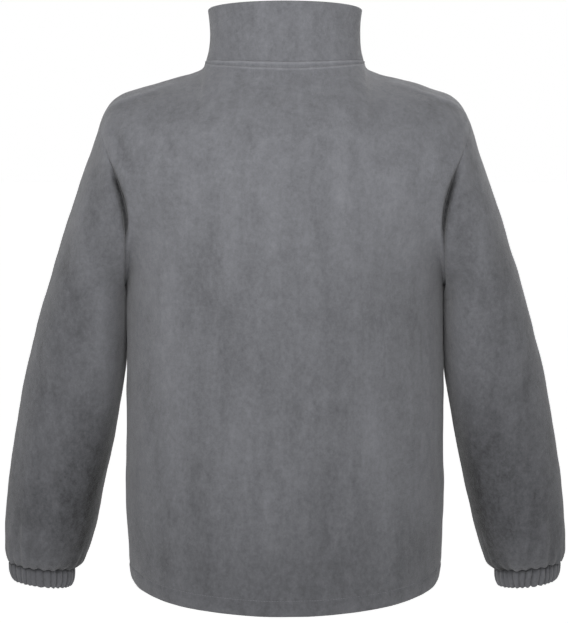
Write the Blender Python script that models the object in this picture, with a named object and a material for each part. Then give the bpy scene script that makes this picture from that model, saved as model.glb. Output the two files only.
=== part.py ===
# Fleece zip jacket, filled out as if worn, with nobody in it.
# Metres, +Z up, zip front towards -Y, back towards +Y, wearer's left towards +X.
# The origin is the middle of the neck opening at the height of the neck seam.
import math
from collections import namedtuple

import bmesh
import bpy
import numpy as np

# ---- driving dimensions -------------------------------------------------
WALL = 0.0024            # one thickness of fleece
HEM_WALL = 0.0046        # the turned hem, two thicknesses
COLLAR_WALL = 0.0048     # collar folded over on itself, two thicknesses
CUFF_WALL = 0.0026       # gathered cuff band
SEAM_GAP = 0.0003        # clear gap between sewn pieces
HEM_DEPTH = 0.020        # how deep the hem is turned up
HEM_STEP = 0.0015        # run over which the turned hem thins out
SINGLE_EDGE = 0.045      # share of a front's width left single beside the zip
FRONT_EDGE_X = 0.0052    # each front's edge stands this far from the zip's middle

NECK_HALF_WIDTH = 0.104  # neck seam, across
NECK_COLUMNS = 5         # facets of a panel's half width that end on the neck seam
HALF_COLUMNS = 12        # facets across a panel's half width
NECK_SHARE = NECK_COLUMNS / HALF_COLUMNS
LOWER_ROWS = 6           # facets from the hem's top to the underarm
ARMHOLE_ROWS = 5         # facets from the underarm to the blade row
YOKE_ROWS = 5            # facets from the blade row to the top seam
TIP_Y = -0.002           # shoulder seam, front to back

Level = namedtuple("Level", "side_z half_width back_y front_y")
TORSO_LEVELS = [
    Level(-0.683, 0.2050, 0.1500, -0.1480),
    Level(-0.658, 0.2078, 0.1500, -0.1485),
    Level(-0.640, 0.2090, 0.1490, -0.1488),
    Level(-0.605, 0.2110, 0.1480, -0.1490),
    Level(-0.500, 0.2104, 0.1440, -0.1490),
    Level(-0.400, 0.2097, 0.1420, -0.1480),
    Level(-0.295, 0.2088, 0.1400, -0.1460),
]

Ridge = namedtuple("Ridge", "x z")
SHOULDER_SEAM = [
    Ridge(0.1040, 0.0000),
    Ridge(0.1070, -0.0075),
    Ridge(0.1192, -0.0140),
    Ridge(0.1465, -0.0216),
    Ridge(0.1756, -0.0296),
    Ridge(0.2006, -0.0375),
    Ridge(0.2180, -0.0454),
    Ridge(0.2290, -0.0550),
    Ridge(0.2370, -0.0670),
    Ridge(0.2425, -0.0800),
]

Half = namedtuple(
    "Half",
    "facing edge_x hem_mid_z under_mid_z blade_x blade_y blade_z blade_mid_y blade_mid_z "
    "turn_deg lean neck_depth neck_drop rise_mid_deg rise_neck_deg")
BACK = Half(
    facing=1, edge_x=0.0, hem_mid_z=-0.7050, under_mid_z=-0.270,
    blade_x=0.2110, blade_y=0.086, blade_z=-0.172, blade_mid_y=0.1290, blade_mid_z=-0.130,
    turn_deg=64, lean=0.22, neck_depth=0.064, neck_drop=0.003,
    rise_mid_deg=52, rise_neck_deg=22)
FRONT = Half(
    facing=-1, edge_x=FRONT_EDGE_X, hem_mid_z=-0.6880, under_mid_z=-0.285,
    blade_x=0.2120, blade_y=0.074, blade_z=-0.172, blade_mid_y=0.1330, blade_mid_z=-0.160,
    turn_deg=64, lean=0.20, neck_depth=0.078, neck_drop=0.045,
    rise_mid_deg=58, rise_neck_deg=22)
BULGE = 1.6              # end-slope length that rounds a quarter turn
BLADE_FLARE = 0.30       # how the armhole leans outwards as it climbs
SIDE_POWER = 3           # how late, towards the side, a column takes on that lean
CORNER_POWER = 8         # how late a column takes on the turn under the arm

Section = namedtuple("Section", "x y z tilt_deg across deep")
SLEEVE_SECTIONS = [
    Section(0.2603, -0.0120, -0.3000, 15.0, 0.0528, 0.0780),
    Section(0.2676, -0.0140, -0.3500, 13.0, 0.0600, 0.0730),
    Section(0.2777, -0.0160, -0.4050, 11.0, 0.0647, 0.0690),
    Section(0.2918, -0.0190, -0.4800, 10.5, 0.0658, 0.0650),
    Section(0.3055, -0.0230, -0.5500, 10.0, 0.0641, 0.0610),
    Section(0.3176, -0.0270, -0.6200, 9.5, 0.0606, 0.0570),
    Section(0.3230, -0.0300, -0.6510, 9.0, 0.0561, 0.0530),
    Section(0.3262, -0.0315, -0.6660, 8.0, 0.0522, 0.0480),
    Section(0.3290, -0.0320, -0.6745, 7.0, 0.0460, 0.0400),
]
SLEEVE_ROWS = 9          # rows from the first section to the cuff seam
CAP_ROWS = 5             # rows from the armhole to the first section
EVEN_SECTIONS = 5        # the rows are even down to this section, then one a section
Leave = namedtuple("Leave", "x z length")
CAP_TOP = Leave(0.30, -0.95, 0.20)       # how the sleeve leaves the shoulder
CAP_SIDE = Leave(0.62, -0.78, 0.13)      # front and back of the armhole
CAP_UNDER = Leave(0.50, -0.85, 0.03)     # under the arm

Band = namedtuple("Band", "along across deep")
COLLAR_TOP_BACK_Z = 0.0745
COLLAR_TOP_SIDE_Z = 0.0668
COLLAR_TOP_FRONT_Z = 0.0300
COLLAR_PROFILE = [       # share of the height, share of the width, share of the depth
    Band(0.00, 1.000, 1.000),
    Band(0.20, 0.962, 0.985),
    Band(0.50, 0.940, 0.975),
    Band(0.78, 0.946, 0.990),
    Band(1.00, 0.966, 1.010),
]
COLLAR_FRONT_LEAN = 0.010

CUFF_HEIGHT = 0.0245
CUFF_DROP = 0.0013       # the cuff starts this far below the sleeve's last section
CUFF_GATHERS = 22
CUFF_GATHER_DEPTH = 0.0018
CUFF_PROFILE = [         # share of the height, half width, half depth
    Band(0.00, 0.0437, 0.0377),
    Band(0.30, 0.0440, 0.0380),
    Band(0.70, 0.0425, 0.0365),
    Band(1.00, 0.0388, 0.0335),
]

TAPE_WALL = 0.0008
TAPE_REACH = 0.0130      # tape runs this far behind each front
TAPE_EASE = 0.0006       # a little slack between the tape and the cloth over it
TAPE_GAP_X = 0.0003      # half the gap between the two tapes
STATION_CLEAR = 0.002    # no tape row closer than this to the tape's ends
BEAD_X = 0.0028          # the closed coil, half its width
BEAD_RISE = 0.0016
BEAD_BEVEL = 0.0006
BOX_HEIGHT = 0.0090
BOX_HALF_WIDTH = 0.0042

SLIDER_BELOW_TOP = 0.0105
SLIDER_HALF_HEIGHT = 0.0055
SLIDER_HALF_WIDTH = 0.0042
SLIDER_PLATE = 0.0011
FLANGE = 0.0009
POST_HALF_WIDTH = 0.0009
POST_HEIGHT = 0.0030
BRIDGE_HALF_WIDTH = 0.0010
BRIDGE_HALF_HEIGHT = 0.0030
BRIDGE_FOOT = 0.0011
BRIDGE_HOLE = 0.0024     # clear depth under the bridge
BRIDGE_BAR = 0.0010

PULL_BAR_RADIUS = 0.0006
PULL_ARM_IN = 0.0014
PULL_HALF_WIDTH = 0.0030
PULL_EYE = 0.0044        # from the bar's axis to the far side of the eye
PULL_LENGTH = 0.0240
JOIN = 0.0002            # overlap where two blocks become one
LEAN_REACH = 0.002       # the zip's lean is read over this far each way

SAME_SIDE = 0.35         # two facets this far in agreement share one wall direction
LEAST_LEAN = 0.75        # a wall's slant at a seam never counts for less than this
POINTS_PER_METRE = 1e5   # points closer than this are one point of a seam


# ---- curves ---------------------------------------------------------------
def smooth(at, knots, values):
    """Cubic through a table, with three-point slopes, values (n,) or (n, k)."""
    knots = np.asarray(knots, float)
    values = np.asarray(values, float)
    step = np.diff(knots)
    rise = np.diff(values, axis=0)
    if values.ndim > 1:
        step = step[:, None]
    chord = rise / step
    slope = np.empty_like(values)
    slope[0] = chord[0]
    slope[-1] = chord[-1]
    slope[1:-1] = (chord[:-1] * step[1:] + chord[1:] * step[:-1]) / (step[1:] + step[:-1])
    at = np.clip(np.asarray(at, float), knots[0], knots[-1])
    cell = np.clip(np.searchsorted(knots, at, side="right") - 1, 0, len(knots) - 2)
    share = (at - knots[cell]) / (knots[cell + 1] - knots[cell])
    width = (knots[cell + 1] - knots[cell])
    if values.ndim > 1:
        share = share[..., None]
        width = width[..., None]
    return hermite(values[cell], slope[cell] * width, values[cell + 1], slope[cell + 1] * width, share)


def hermite(start, leave, end, arrive, share):
    """Cubic from start to end with the two end slopes."""
    square = share * share
    cube = square * share
    return (start * (2 * cube - 3 * square + 1) + leave * (cube - 2 * square + share)
            + end * (3 * square - 2 * cube) + arrive * (cube - square))


def stack(x, y, z):
    """Three arrays as one array of points."""
    return np.stack(np.broadcast_arrays(x, y, z), axis=-1)


def unit(vectors):
    return vectors / np.maximum(np.linalg.norm(vectors, axis=-1, keepdims=True), 1e-12)


def column(rows, name):
    return [getattr(row, name) for row in rows]


# ---- torso ----------------------------------------------------------------
def ring_row(half, s, share):
    """One level of the torso, s 0 at the middle to 1 at the side seam."""
    side_z = TORSO_LEVELS[0].side_z + share * (TORSO_LEVELS[-1].side_z - TORSO_LEVELS[0].side_z)
    levels = column(TORSO_LEVELS, "side_z")
    width = smooth(side_z, levels, column(TORSO_LEVELS, "half_width"))
    depth_name = "back_y" if half.facing > 0 else "front_y"
    depth = smooth(side_z, levels, column(TORSO_LEVELS, depth_name))
    mid_z = half.hem_mid_z + share * (half.under_mid_z - half.hem_mid_z)
    angle = s * math.pi / 2
    return stack(half.edge_x + (width - half.edge_x) * np.sin(angle),
                 depth * np.cos(angle),
                 side_z + (mid_z - side_z) * np.cos(angle))


def blade_row(half, s):
    """The row across the shoulder blades or chest, ending half way up the armhole."""
    turn = math.radians(half.turn_deg)
    across = np.sin(s * turn) / math.sin(turn)
    mid = (np.cos(s * turn) - math.cos(turn)) / (1 - math.cos(turn))
    return stack(half.edge_x + (half.blade_x - half.edge_x) * across,
                 half.facing * (half.blade_y + (half.blade_mid_y - half.blade_y) * mid),
                 half.blade_z + (half.blade_mid_z - half.blade_z) * mid)


def top_row(half, s):
    """The neck seam from the middle to the shoulder, then the shoulder seam to its tip."""
    turn = np.clip(s / NECK_SHARE, 0, 1) * math.pi / 2
    neck = stack(half.edge_x + (NECK_HALF_WIDTH - half.edge_x) * np.sin(turn),
                 TIP_Y + half.facing * half.neck_depth * np.cos(turn),
                 -half.neck_drop * (1 - np.sin(turn)))
    ridge = np.array([[row.x, row.z] for row in SHOULDER_SEAM])
    run = np.concatenate([[0], np.cumsum(np.linalg.norm(np.diff(ridge, axis=0), axis=1))])
    along = np.clip((s - NECK_SHARE) / (1 - NECK_SHARE), 0, 1) * run[-1]
    seam = smooth(along, run, ridge)
    shoulder = stack(seam[..., 0], TIP_Y, seam[..., 1])
    return np.where((s > NECK_SHARE)[..., None], shoulder, neck)


def armhole_panel(half, s, share):
    """Underarm level up to the blade row; the side column is the lower armhole."""
    start = ring_row(half, s, 1.0)
    end = blade_row(half, s)
    climb = (end - start)[..., 2]
    corner = s ** CORNER_POWER
    reach = BULGE * half.facing * half.blade_y
    leave = stack(0, corner * reach, (1 - corner) * climb)
    stretch = 1 + (BULGE - 1) * corner
    flare = BLADE_FLARE * s ** SIDE_POWER
    lean = -half.facing * half.lean * (1 - s ** SIDE_POWER)
    arrive = stack(flare * climb * stretch, lean * climb, climb * stretch)
    return hermite(start, leave, end, arrive, share)


def yoke_panel(half, s, share):
    """Blade row up to the shoulder and neck seams."""
    start = blade_row(half, s)
    end = top_row(half, s)
    climb = (end - start)[..., 2]
    back = np.abs((end - start)[..., 1])
    flare = BLADE_FLARE * s ** SIDE_POWER
    lean = -half.facing * half.lean * (1 - s ** SIDE_POWER)
    leave = stack(flare * climb, lean * climb, climb) * BULGE
    rise = np.interp(s, [0, NECK_SHARE, 1], [half.rise_mid_deg, half.rise_neck_deg, 0])
    rise = np.radians(rise)
    arrive = stack(0, -half.facing * back * np.cos(rise), climb * np.sin(rise)) * BULGE
    return hermite(start, leave, end, arrive, share)


def panel_grid(half, s):
    """Rows from hem to top, columns s; returns the points and the underarm's row."""
    rise = TORSO_LEVELS[-1].side_z - TORSO_LEVELS[0].side_z
    lower = [0.0, (HEM_DEPTH - HEM_STEP) / rise, HEM_DEPTH / rise]
    lower += [float(v) for v in np.linspace(HEM_DEPTH / rise, 1, LOWER_ROWS + 1)[1:]]
    rows = [ring_row(half, s, share) for share in lower]
    rows += [armhole_panel(half, s, share) for share in np.linspace(0, 1, ARMHOLE_ROWS + 1)[1:]]
    rows += [yoke_panel(half, s, share) for share in np.linspace(0, 1, YOKE_ROWS + 1)[1:]]
    return np.array(rows), len(lower) - 1


# ---- sleeve ---------------------------------------------------------------
def sleeve_ring(section, turn):
    """An oval square to the arm; turn 0 is the outside, a quarter turn is the back."""
    x, y, z, tilt_deg, across, deep = np.moveaxis(np.asarray(section), -1, 0)
    tilt = np.radians(tilt_deg)
    return stack(x + across * np.cos(turn) * np.cos(tilt),
                 y + deep * np.sin(turn),
                 z + across * np.cos(turn) * np.sin(tilt))


def leave_way(turn):
    """How the sleeve leaves each point of the armhole."""
    top = np.clip(np.cos(turn), 0, 1) ** 2
    under = np.clip(-np.cos(turn), 0, 1) ** 2
    side = 1 - top - under
    mix = [top * getattr(CAP_TOP, name) + side * getattr(CAP_SIDE, name)
           + under * getattr(CAP_UNDER, name) for name in Leave._fields]
    return unit(stack(mix[0], 0, mix[1])) * mix[2][..., None], mix[2]


def sleeve_grid(armhole, turn):
    """Rows from the armhole to the cuff seam round the wearer's left sleeve."""
    first = SLEEVE_SECTIONS[0]
    leave, length = leave_way(turn)
    tilt = math.radians(first.tilt_deg)
    arrive = stack(math.sin(tilt), 0, -math.cos(tilt)) * length[..., None]
    end = sleeve_ring(first, turn)
    rows = [hermite(armhole, leave, end, arrive, share)
            for share in np.linspace(0, 1, CAP_ROWS + 1)[:-1]]
    table = np.array(SLEEVE_SECTIONS)
    steps = np.linalg.norm(np.diff(table[:, :3], axis=0), axis=1) + np.abs(np.diff(table[:, 4]))
    knots = np.concatenate([[0], np.cumsum(steps)])
    even = knots[EVEN_SECTIONS] * np.linspace(0, 1, SLEEVE_ROWS - 2)[:-1]
    for at in np.concatenate([even, knots[EVEN_SECTIONS:]]):
        rows.append(sleeve_ring(smooth(np.array(at), knots, table), turn))
    return np.array(rows)


def cuff_grid(turn):
    """The gathered cuff below the wearer's left sleeve."""
    last = SLEEVE_SECTIONS[-1]
    rows = []
    for band in CUFF_PROFILE:
        drop = CUFF_DROP + band.along * CUFF_HEIGHT
        fold = CUFF_GATHER_DEPTH * np.cos(turn * CUFF_GATHERS)
        section = (last.x, last.y, last.z - drop, last.tilt_deg, band.across, band.deep)
        ring = sleeve_ring(section, turn)
        middle = np.array([last.x, last.y, last.z - drop])
        rows.append(ring + unit(ring - middle) * fold[:, None])
    return np.array(rows)


# ---- collar ---------------------------------------------------------------
def collar_grid(neck):
    """Rows from the neck seam to the top edge; neck holds the seam's points in order."""
    front = np.clip(-(neck[:, 1] - TIP_Y) / FRONT.neck_depth, 0, 1)
    back = np.clip((neck[:, 1] - TIP_Y) / BACK.neck_depth, 0, 1)
    top_z = (COLLAR_TOP_SIDE_Z + (COLLAR_TOP_BACK_Z - COLLAR_TOP_SIDE_Z) * back
             + (COLLAR_TOP_FRONT_Z - COLLAR_TOP_SIDE_Z) * front ** 2)
    edge = FRONT_EDGE_X
    rows = []
    for band in COLLAR_PROFILE:
        side = np.sign(neck[:, 0])
        x = side * (edge + (np.abs(neck[:, 0]) - edge) * band.across)
        x = np.where(np.abs(neck[:, 0]) < edge, neck[:, 0] * band.across, x)
        y = TIP_Y + (neck[:, 1] - TIP_Y) * band.deep - COLLAR_FRONT_LEAN * band.along * front
        z = neck[:, 2] + (top_z - neck[:, 2]) * band.along
        rows.append(stack(x, y, z))
    return np.array(rows)


# ---- sheets into solids ---------------------------------------------------
def grid_normals(grid, closed):
    """Outward directions from the rows and columns of a grid."""
    if closed:
        along = np.roll(grid, -1, axis=1) - np.roll(grid, 1, axis=1)
    else:
        along = np.gradient(grid, axis=1)
    up = np.gradient(grid, axis=0)
    return unit(np.cross(along, up))


def border_keys(grid, closed):
    """Row and column of each border point."""
    rows, cols = grid.shape[:2]
    marks = [(row, col) for row in (0, rows - 1) for col in range(cols)]
    if not closed:
        marks += [(row, col) for col in (0, cols - 1) for row in range(1, rows - 1)]
    return marks


def share_seams(sheets):
    """Give both sides of a seam one wall direction, so their walls meet without crossing."""
    meeting = {}
    for sheet in sheets:
        for row, col in border_keys(sheet["grid"], sheet["closed"]):
            key = tuple(np.round(sheet["grid"][row, col] * POINTS_PER_METRE).astype(int))
            meeting.setdefault(key, []).append((sheet, row, col, sheet["out"][row, col].copy()))
    for members in meeting.values():
        for sheet, row, col, own in members:
            near = [other for _, _, _, other in members if float(other @ own) > SAME_SIDE]
            shared = unit(np.sum(near, axis=0))
            sheet["out"][row, col] = shared
            sheet["stretch"][row, col] = 1 / max(float(shared @ own), LEAST_LEAN)


def inset_border(grid, closed):
    """Draw the border in along the cloth by half the seam gap."""
    drawn = grid.copy()
    half = SEAM_GAP / 2
    drawn[0] += unit(grid[1] - grid[0]) * half
    drawn[-1] += unit(grid[-2] - grid[-1]) * half
    if not closed:
        drawn[:, 0] += unit(grid[:, 1] - grid[:, 0]) * half
        drawn[:, -1] += unit(grid[:, -2] - grid[:, -1]) * half
    return drawn


def make_object(name, points, faces, material, flat=False):
    mesh = bpy.data.meshes.new(name)
    mesh.from_pydata([tuple(map(float, p)) for p in points], [], faces)
    body = bmesh.new()
    body.from_mesh(mesh)
    bmesh.ops.triangulate(body, faces=[face for face in body.faces if len(face.verts) > 3])
    bmesh.ops.recalc_face_normals(body, faces=body.faces)
    if body.calc_volume(signed=True) < 0:
        bmesh.ops.reverse_faces(body, faces=body.faces)
    body.to_mesh(mesh)
    body.free()
    thing = bpy.data.objects.new(name, mesh)
    bpy.context.scene.collection.objects.link(thing)
    mesh.materials.append(material)
    if not flat:
        mesh.shade_smooth()
    return thing


def sheet_solid(sheet, material):
    """Outer face, inner face one wall in, and the rim between them."""
    grid = inset_border(sheet["grid"], sheet["closed"])
    rows, cols = grid.shape[:2]
    wall = np.broadcast_to(sheet["wall"], (rows, cols))
    inner = grid - sheet["out"] * (wall * sheet["stretch"])[..., None]
    points = np.concatenate([grid.reshape(-1, 3), inner.reshape(-1, 3)])
    under = rows * cols
    wrap = cols if sheet["closed"] else cols - 1
    faces = []
    for row in range(rows - 1):
        for col in range(wrap):
            after = (col + 1) % cols
            quad = [row * cols + col, row * cols + after, (row + 1) * cols + after, (row + 1) * cols + col]
            faces.append(quad)
            faces.append([under + index for index in reversed(quad)])
    for col in range(wrap):
        after = (col + 1) % cols
        faces.append([after, col, under + col, under + after])
        top = (rows - 1) * cols
        faces.append([top + col, top + after, under + top + after, under + top + col])
    if not sheet["closed"]:
        for row in range(rows - 1):
            low, high = row * cols, (row + 1) * cols
            faces.append([low, high, under + high, under + low])
            faces.append([high + cols - 1, low + cols - 1, under + low + cols - 1, under + high + cols - 1])
    return make_object(sheet["name"], points, faces, material)


def prism_along(name, outlines, material):
    """A closed outline carried through several places."""
    count = len(outlines[0])
    points = np.concatenate(outlines)
    faces = [list(range(count))[::-1], [len(points) - count + i for i in range(count)]]
    for step in range(len(outlines) - 1):
        for i in range(count):
            after = (i + 1) % count
            low, high = step * count, (step + 1) * count
            faces.append([low + i, low + after, high + after, high + i])
    return make_object(name, points, faces, material, flat=True)


def paint(name, color, roughness, metallic=0.0):
    material = bpy.data.materials.new(name)
    material.use_nodes = True
    shader = material.node_tree.nodes["Principled BSDF"]
    shader.inputs["Base Color"].default_value = (*color, 1.0)
    shader.inputs["Roughness"].default_value = roughness
    shader.inputs["Metallic"].default_value = metallic
    return material


def new_sheet(name, grid, wall, closed=False):
    out = grid_normals(grid, closed)
    return {"name": name, "grid": grid, "wall": wall, "closed": closed, "out": out,
            "stretch": np.ones(grid.shape[:2])}


def mirrored(grid):
    """The wearer's right side from the left, columns turned so faces stay outward."""
    return grid[:, ::-1] * np.array([-1.0, 1.0, 1.0])


# ---- zip ------------------------------------------------------------------
def tape_outlines(path, out, recede, side, top_open):
    """Tape behind the front's edge with the closed coil as a bead along it."""
    face = WALL + SEAM_GAP + TAPE_EASE
    outlines = []
    for index, (place, way, fall) in enumerate(zip(path, out, recede)):
        opened = index >= len(path) - top_open
        start = POST_HALF_WIDTH + SEAM_GAP if opened else TAPE_GAP_X
        rise = TAPE_GAP_X / 2 if opened else BEAD_RISE
        bevel = min(BEAD_BEVEL, rise / 2)
        sag = fall * (TAPE_REACH - FRONT_EDGE_X)
        profile = [(start, face - rise), (BEAD_X - bevel, face - rise), (BEAD_X, face - rise + bevel),
                   (BEAD_X, face), (FRONT_EDGE_X, face), (TAPE_REACH, face + sag),
                   (TAPE_REACH, face + sag + TAPE_WALL), (FRONT_EDGE_X, face + TAPE_WALL),
                   (start, face + TAPE_WALL)]
        outlines.append(np.array([[side * x, place[1] - way[1] * depth, place[2] - way[2] * depth]
                                  for x, depth in profile]))
    return outlines


def block(name, lows, highs, material):
    """A box between two corners."""
    points = [(x, y, z) for x in (lows[0], highs[0]) for y in (lows[1], highs[1])
              for z in (lows[2], highs[2])]
    faces = [[0, 1, 3, 2], [4, 6, 7, 5], [0, 4, 5, 1], [2, 3, 7, 6], [0, 2, 6, 4], [1, 5, 7, 3]]
    return make_object(name, points, faces, material, flat=True)


def fused(name, boxes, material):
    """Boxes joined into one solid."""
    base = block(name, *boxes[0], material)
    for lows, highs in boxes[1:]:
        piece = block(name + "_more", lows, highs, material)
        union = base.modifiers.new("union", "BOOLEAN")
        union.operation = "UNION"
        union.solver = "EXACT"
        union.object = piece
        bpy.context.view_layer.objects.active = base
        bpy.ops.object.modifier_apply(modifier=union.name)
        bpy.data.objects.remove(piece, do_unlink=True)
    return base


# ---- build ----------------------------------------------------------------
for thing in list(bpy.data.objects):
    bpy.data.objects.remove(thing, do_unlink=True)

fleece = paint("fleece", (0.19, 0.195, 0.21), 0.95)
cuff_fleece = paint("cuff_fleece", (0.12, 0.12, 0.125), 0.95)
tape_cloth = paint("zip_tape", (0.10, 0.10, 0.105), 0.9)
zip_metal = paint("zip_metal", (0.25, 0.25, 0.26), 0.35, 1.0)

half_cols = np.linspace(0, 1, HALF_COLUMNS + 1)
back_s = np.concatenate([-half_cols[:0:-1], half_cols])
back_half, underarm_row = panel_grid(BACK, half_cols)
back_grid = np.concatenate([mirrored(back_half)[:, :-1], back_half], axis=1)[:, ::-1]
front_s = np.sort(np.append(half_cols, SINGLE_EDGE))
front_half, _ = panel_grid(FRONT, front_s)

hem_rows = np.zeros(len(back_grid))
hem_rows[:2] = 1
back_wall = WALL + (HEM_WALL - WALL) * hem_rows[:, None] * np.ones(len(back_s))
front_wall = WALL + (HEM_WALL - WALL) * hem_rows[:, None] * (front_s > SINGLE_EDGE)

back = new_sheet("back", back_grid, back_wall)
front_left = new_sheet("front_left", front_half, front_wall)
front_right = new_sheet("front_right", mirrored(front_half), front_wall[:, ::-1])

back_arm = back_half[underarm_row:, -1]
front_arm = front_half[underarm_row:, -1]
arm_loop = np.concatenate([back_arm[::-1], front_arm[1:-1]])
arm_count = len(arm_loop)
arm_turn = np.arange(arm_count) * 2 * math.pi / arm_count
sleeve_points = sleeve_grid(arm_loop, arm_turn)[::-1]
sleeve_left = new_sheet("sleeve_left", sleeve_points, WALL, closed=True)
sleeve_right = new_sheet("sleeve_right", mirrored(sleeve_points), WALL, closed=True)

cuff_turn = np.arange(2 * CUFF_GATHERS) * math.pi / CUFF_GATHERS
cuff_points = cuff_grid(cuff_turn)[::-1]
cuff_left = new_sheet("cuff_left", cuff_points, CUFF_WALL, closed=True)
cuff_right = new_sheet("cuff_right", mirrored(cuff_points), CUFF_WALL, closed=True)

neck_back = back_half[-1, half_cols <= NECK_SHARE + 1e-9]
neck_front = front_half[-1, front_s <= NECK_SHARE + 1e-9]
mirror_x = np.array([-1.0, 1.0, 1.0])
neck_line = np.concatenate([neck_front, neck_back[-2::-1], neck_back[1:] * mirror_x,
                            neck_front[-2::-1] * mirror_x])
collar_points = collar_grid(neck_line)
single = np.zeros(len(neck_line), bool)
single[[0, 1, -2, -1]] = True
collar_wall = np.where(single, WALL, COLLAR_WALL) * np.ones((len(collar_points), 1))
collar = new_sheet("collar", collar_points, collar_wall)

sheets = [back, front_left, front_right, sleeve_left, sleeve_right, collar, cuff_left, cuff_right]
share_seams(sheets)
for sheet in sheets:
    sheet_solid(sheet, cuff_fleece if sheet["name"].startswith("cuff") else fleece)

# zip path: the left front's edge, then the collar's front edge
edge_path = np.concatenate([front_half[:, 0], collar_points[1:, 0]])
run = np.concatenate([[0], np.cumsum(np.linalg.norm(np.diff(edge_path, axis=0), axis=1))])
zip_length = run[-1]
slider_at = zip_length - SLIDER_BELOW_TOP
bead_end = slider_at + SLIDER_HALF_HEIGHT - POST_HEIGHT - SEAM_GAP
tape_start = BOX_HEIGHT + SEAM_GAP
on_rows = run[(run > tape_start + STATION_CLEAR) & (run < bead_end - STATION_CLEAR)]
tape_at = np.concatenate([[tape_start], on_rows, [bead_end, bead_end + TAPE_GAP_X, zip_length - SEAM_GAP]])
tape_path = np.stack([np.interp(tape_at, run, edge_path[:, axis]) for axis in range(3)], axis=1)
climb = unit(np.diff(tape_path, axis=0) * np.array([0.0, 1.0, 1.0]))
climb = np.concatenate([climb[:1], climb, climb[-1:]])
mitre = unit(climb[1:] + climb[:-1])
mitre = mitre / np.sum(mitre * climb[1:], axis=1, keepdims=True)
tape_out = np.stack([np.zeros(len(mitre)), -mitre[:, 2], mitre[:, 1]], axis=1)
beside = np.concatenate([front_half[:, 1], collar_points[1:, 1]]) - edge_path
beside = np.stack([np.interp(tape_at, run, beside[:, axis]) for axis in range(3)], axis=1)
tape_fall = -np.sum(beside * unit(tape_out), axis=1) / beside[:, 0]
prism_along("zip_tape_left", tape_outlines(tape_path, tape_out, tape_fall, 1, 2), tape_cloth)
prism_along("zip_tape_right", tape_outlines(tape_path, tape_out, tape_fall, -1, 2), tape_cloth)


def zip_place(at):
    """One place on the zip, and how far the zip leans out of the upright there."""
    place = smooth(np.array(at), run, edge_path)
    way = (smooth(np.array(min(at + LEAN_REACH, zip_length)), run, edge_path)
           - smooth(np.array(max(at - LEAN_REACH, 0.0)), run, edge_path))
    return place, math.atan2(-way[1], way[2])


def set_on_zip(thing, at):
    """Place a piece made about its own middle, -Y out of the cloth, onto the zip."""
    place, lean = zip_place(at)
    thing.location = (0.0, place[1], place[2])
    thing.rotation_euler = (lean, 0.0, 0.0)


tape_front = WALL + SEAM_GAP + TAPE_EASE      # depths behind the fleece's face
coil_front = tape_front - BEAD_RISE
tape_back = tape_front + TAPE_WALL
plate_in = coil_front - SEAM_GAP
plate_out = plate_in - SLIDER_PLATE
rear_in = tape_back + SEAM_GAP
rear_out = rear_in + SLIDER_PLATE
flange_in = tape_front - SEAM_GAP
top = SLIDER_HALF_HEIGHT
bridge_in = plate_out - BRIDGE_HOLE
bridge_out = bridge_in - BRIDGE_BAR
foot_half = BRIDGE_HALF_WIDTH - JOIN
foot_end = BRIDGE_HALF_HEIGHT - JOIN
slider = fused("zip_slider", [
    ((-SLIDER_HALF_WIDTH, plate_out, -top), (SLIDER_HALF_WIDTH, plate_in, top)),
    ((-SLIDER_HALF_WIDTH + JOIN, plate_in - JOIN, -top + JOIN),
     (FLANGE - SLIDER_HALF_WIDTH, flange_in, top - JOIN)),
    ((SLIDER_HALF_WIDTH - FLANGE, plate_in - JOIN, -top + JOIN),
     (SLIDER_HALF_WIDTH - JOIN, flange_in, top - JOIN)),
    ((-POST_HALF_WIDTH, plate_in - JOIN, top - POST_HEIGHT), (POST_HALF_WIDTH, rear_in + JOIN, top - JOIN)),
    ((-SLIDER_HALF_WIDTH, rear_in, -top), (SLIDER_HALF_WIDTH, rear_out, top)),
    ((-foot_half, bridge_in - JOIN, foot_end - BRIDGE_FOOT), (foot_half, plate_out + JOIN, foot_end)),
    ((-foot_half, bridge_in - JOIN, -foot_end), (foot_half, plate_out + JOIN, BRIDGE_FOOT - foot_end)),
    ((-BRIDGE_HALF_WIDTH, bridge_out, -BRIDGE_HALF_HEIGHT),
     (BRIDGE_HALF_WIDTH, bridge_in, BRIDGE_HALF_HEIGHT)),
], zip_metal)
set_on_zip(slider, slider_at)

pin_box = block("zip_box", (-BOX_HALF_WIDTH, plate_in, -BOX_HEIGHT / 2),
                (BOX_HALF_WIDTH, tape_back, BOX_HEIGHT / 2), zip_metal)
set_on_zip(pin_box, BOX_HEIGHT / 2)

# pull tab: a bar through the bridge, two arms round it, and the tab hanging plumb
arm = PULL_BAR_RADIUS - JOIN / 2
pull = fused("zip_pull_tab", [
    ((-PULL_HALF_WIDTH, -PULL_BAR_RADIUS, -PULL_LENGTH), (PULL_HALF_WIDTH, PULL_BAR_RADIUS, -PULL_EYE)),
    ((PULL_ARM_IN, -arm, -PULL_EYE - JOIN), (PULL_HALF_WIDTH - JOIN, arm, PULL_BAR_RADIUS - JOIN)),
    ((JOIN - PULL_HALF_WIDTH, -arm, -PULL_EYE - JOIN), (-PULL_ARM_IN, arm, PULL_BAR_RADIUS - JOIN)),
    ((-PULL_HALF_WIDTH, -PULL_BAR_RADIUS, -PULL_BAR_RADIUS),
     (PULL_HALF_WIDTH, PULL_BAR_RADIUS, PULL_BAR_RADIUS)),
], zip_metal)
place, lean = zip_place(slider_at)
axis_out = BRIDGE_HOLE / 2 - plate_out
pull.location = (0.0, place[1] - math.cos(lean) * axis_out, place[2] - math.sin(lean) * axis_out)
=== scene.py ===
import math

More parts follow.
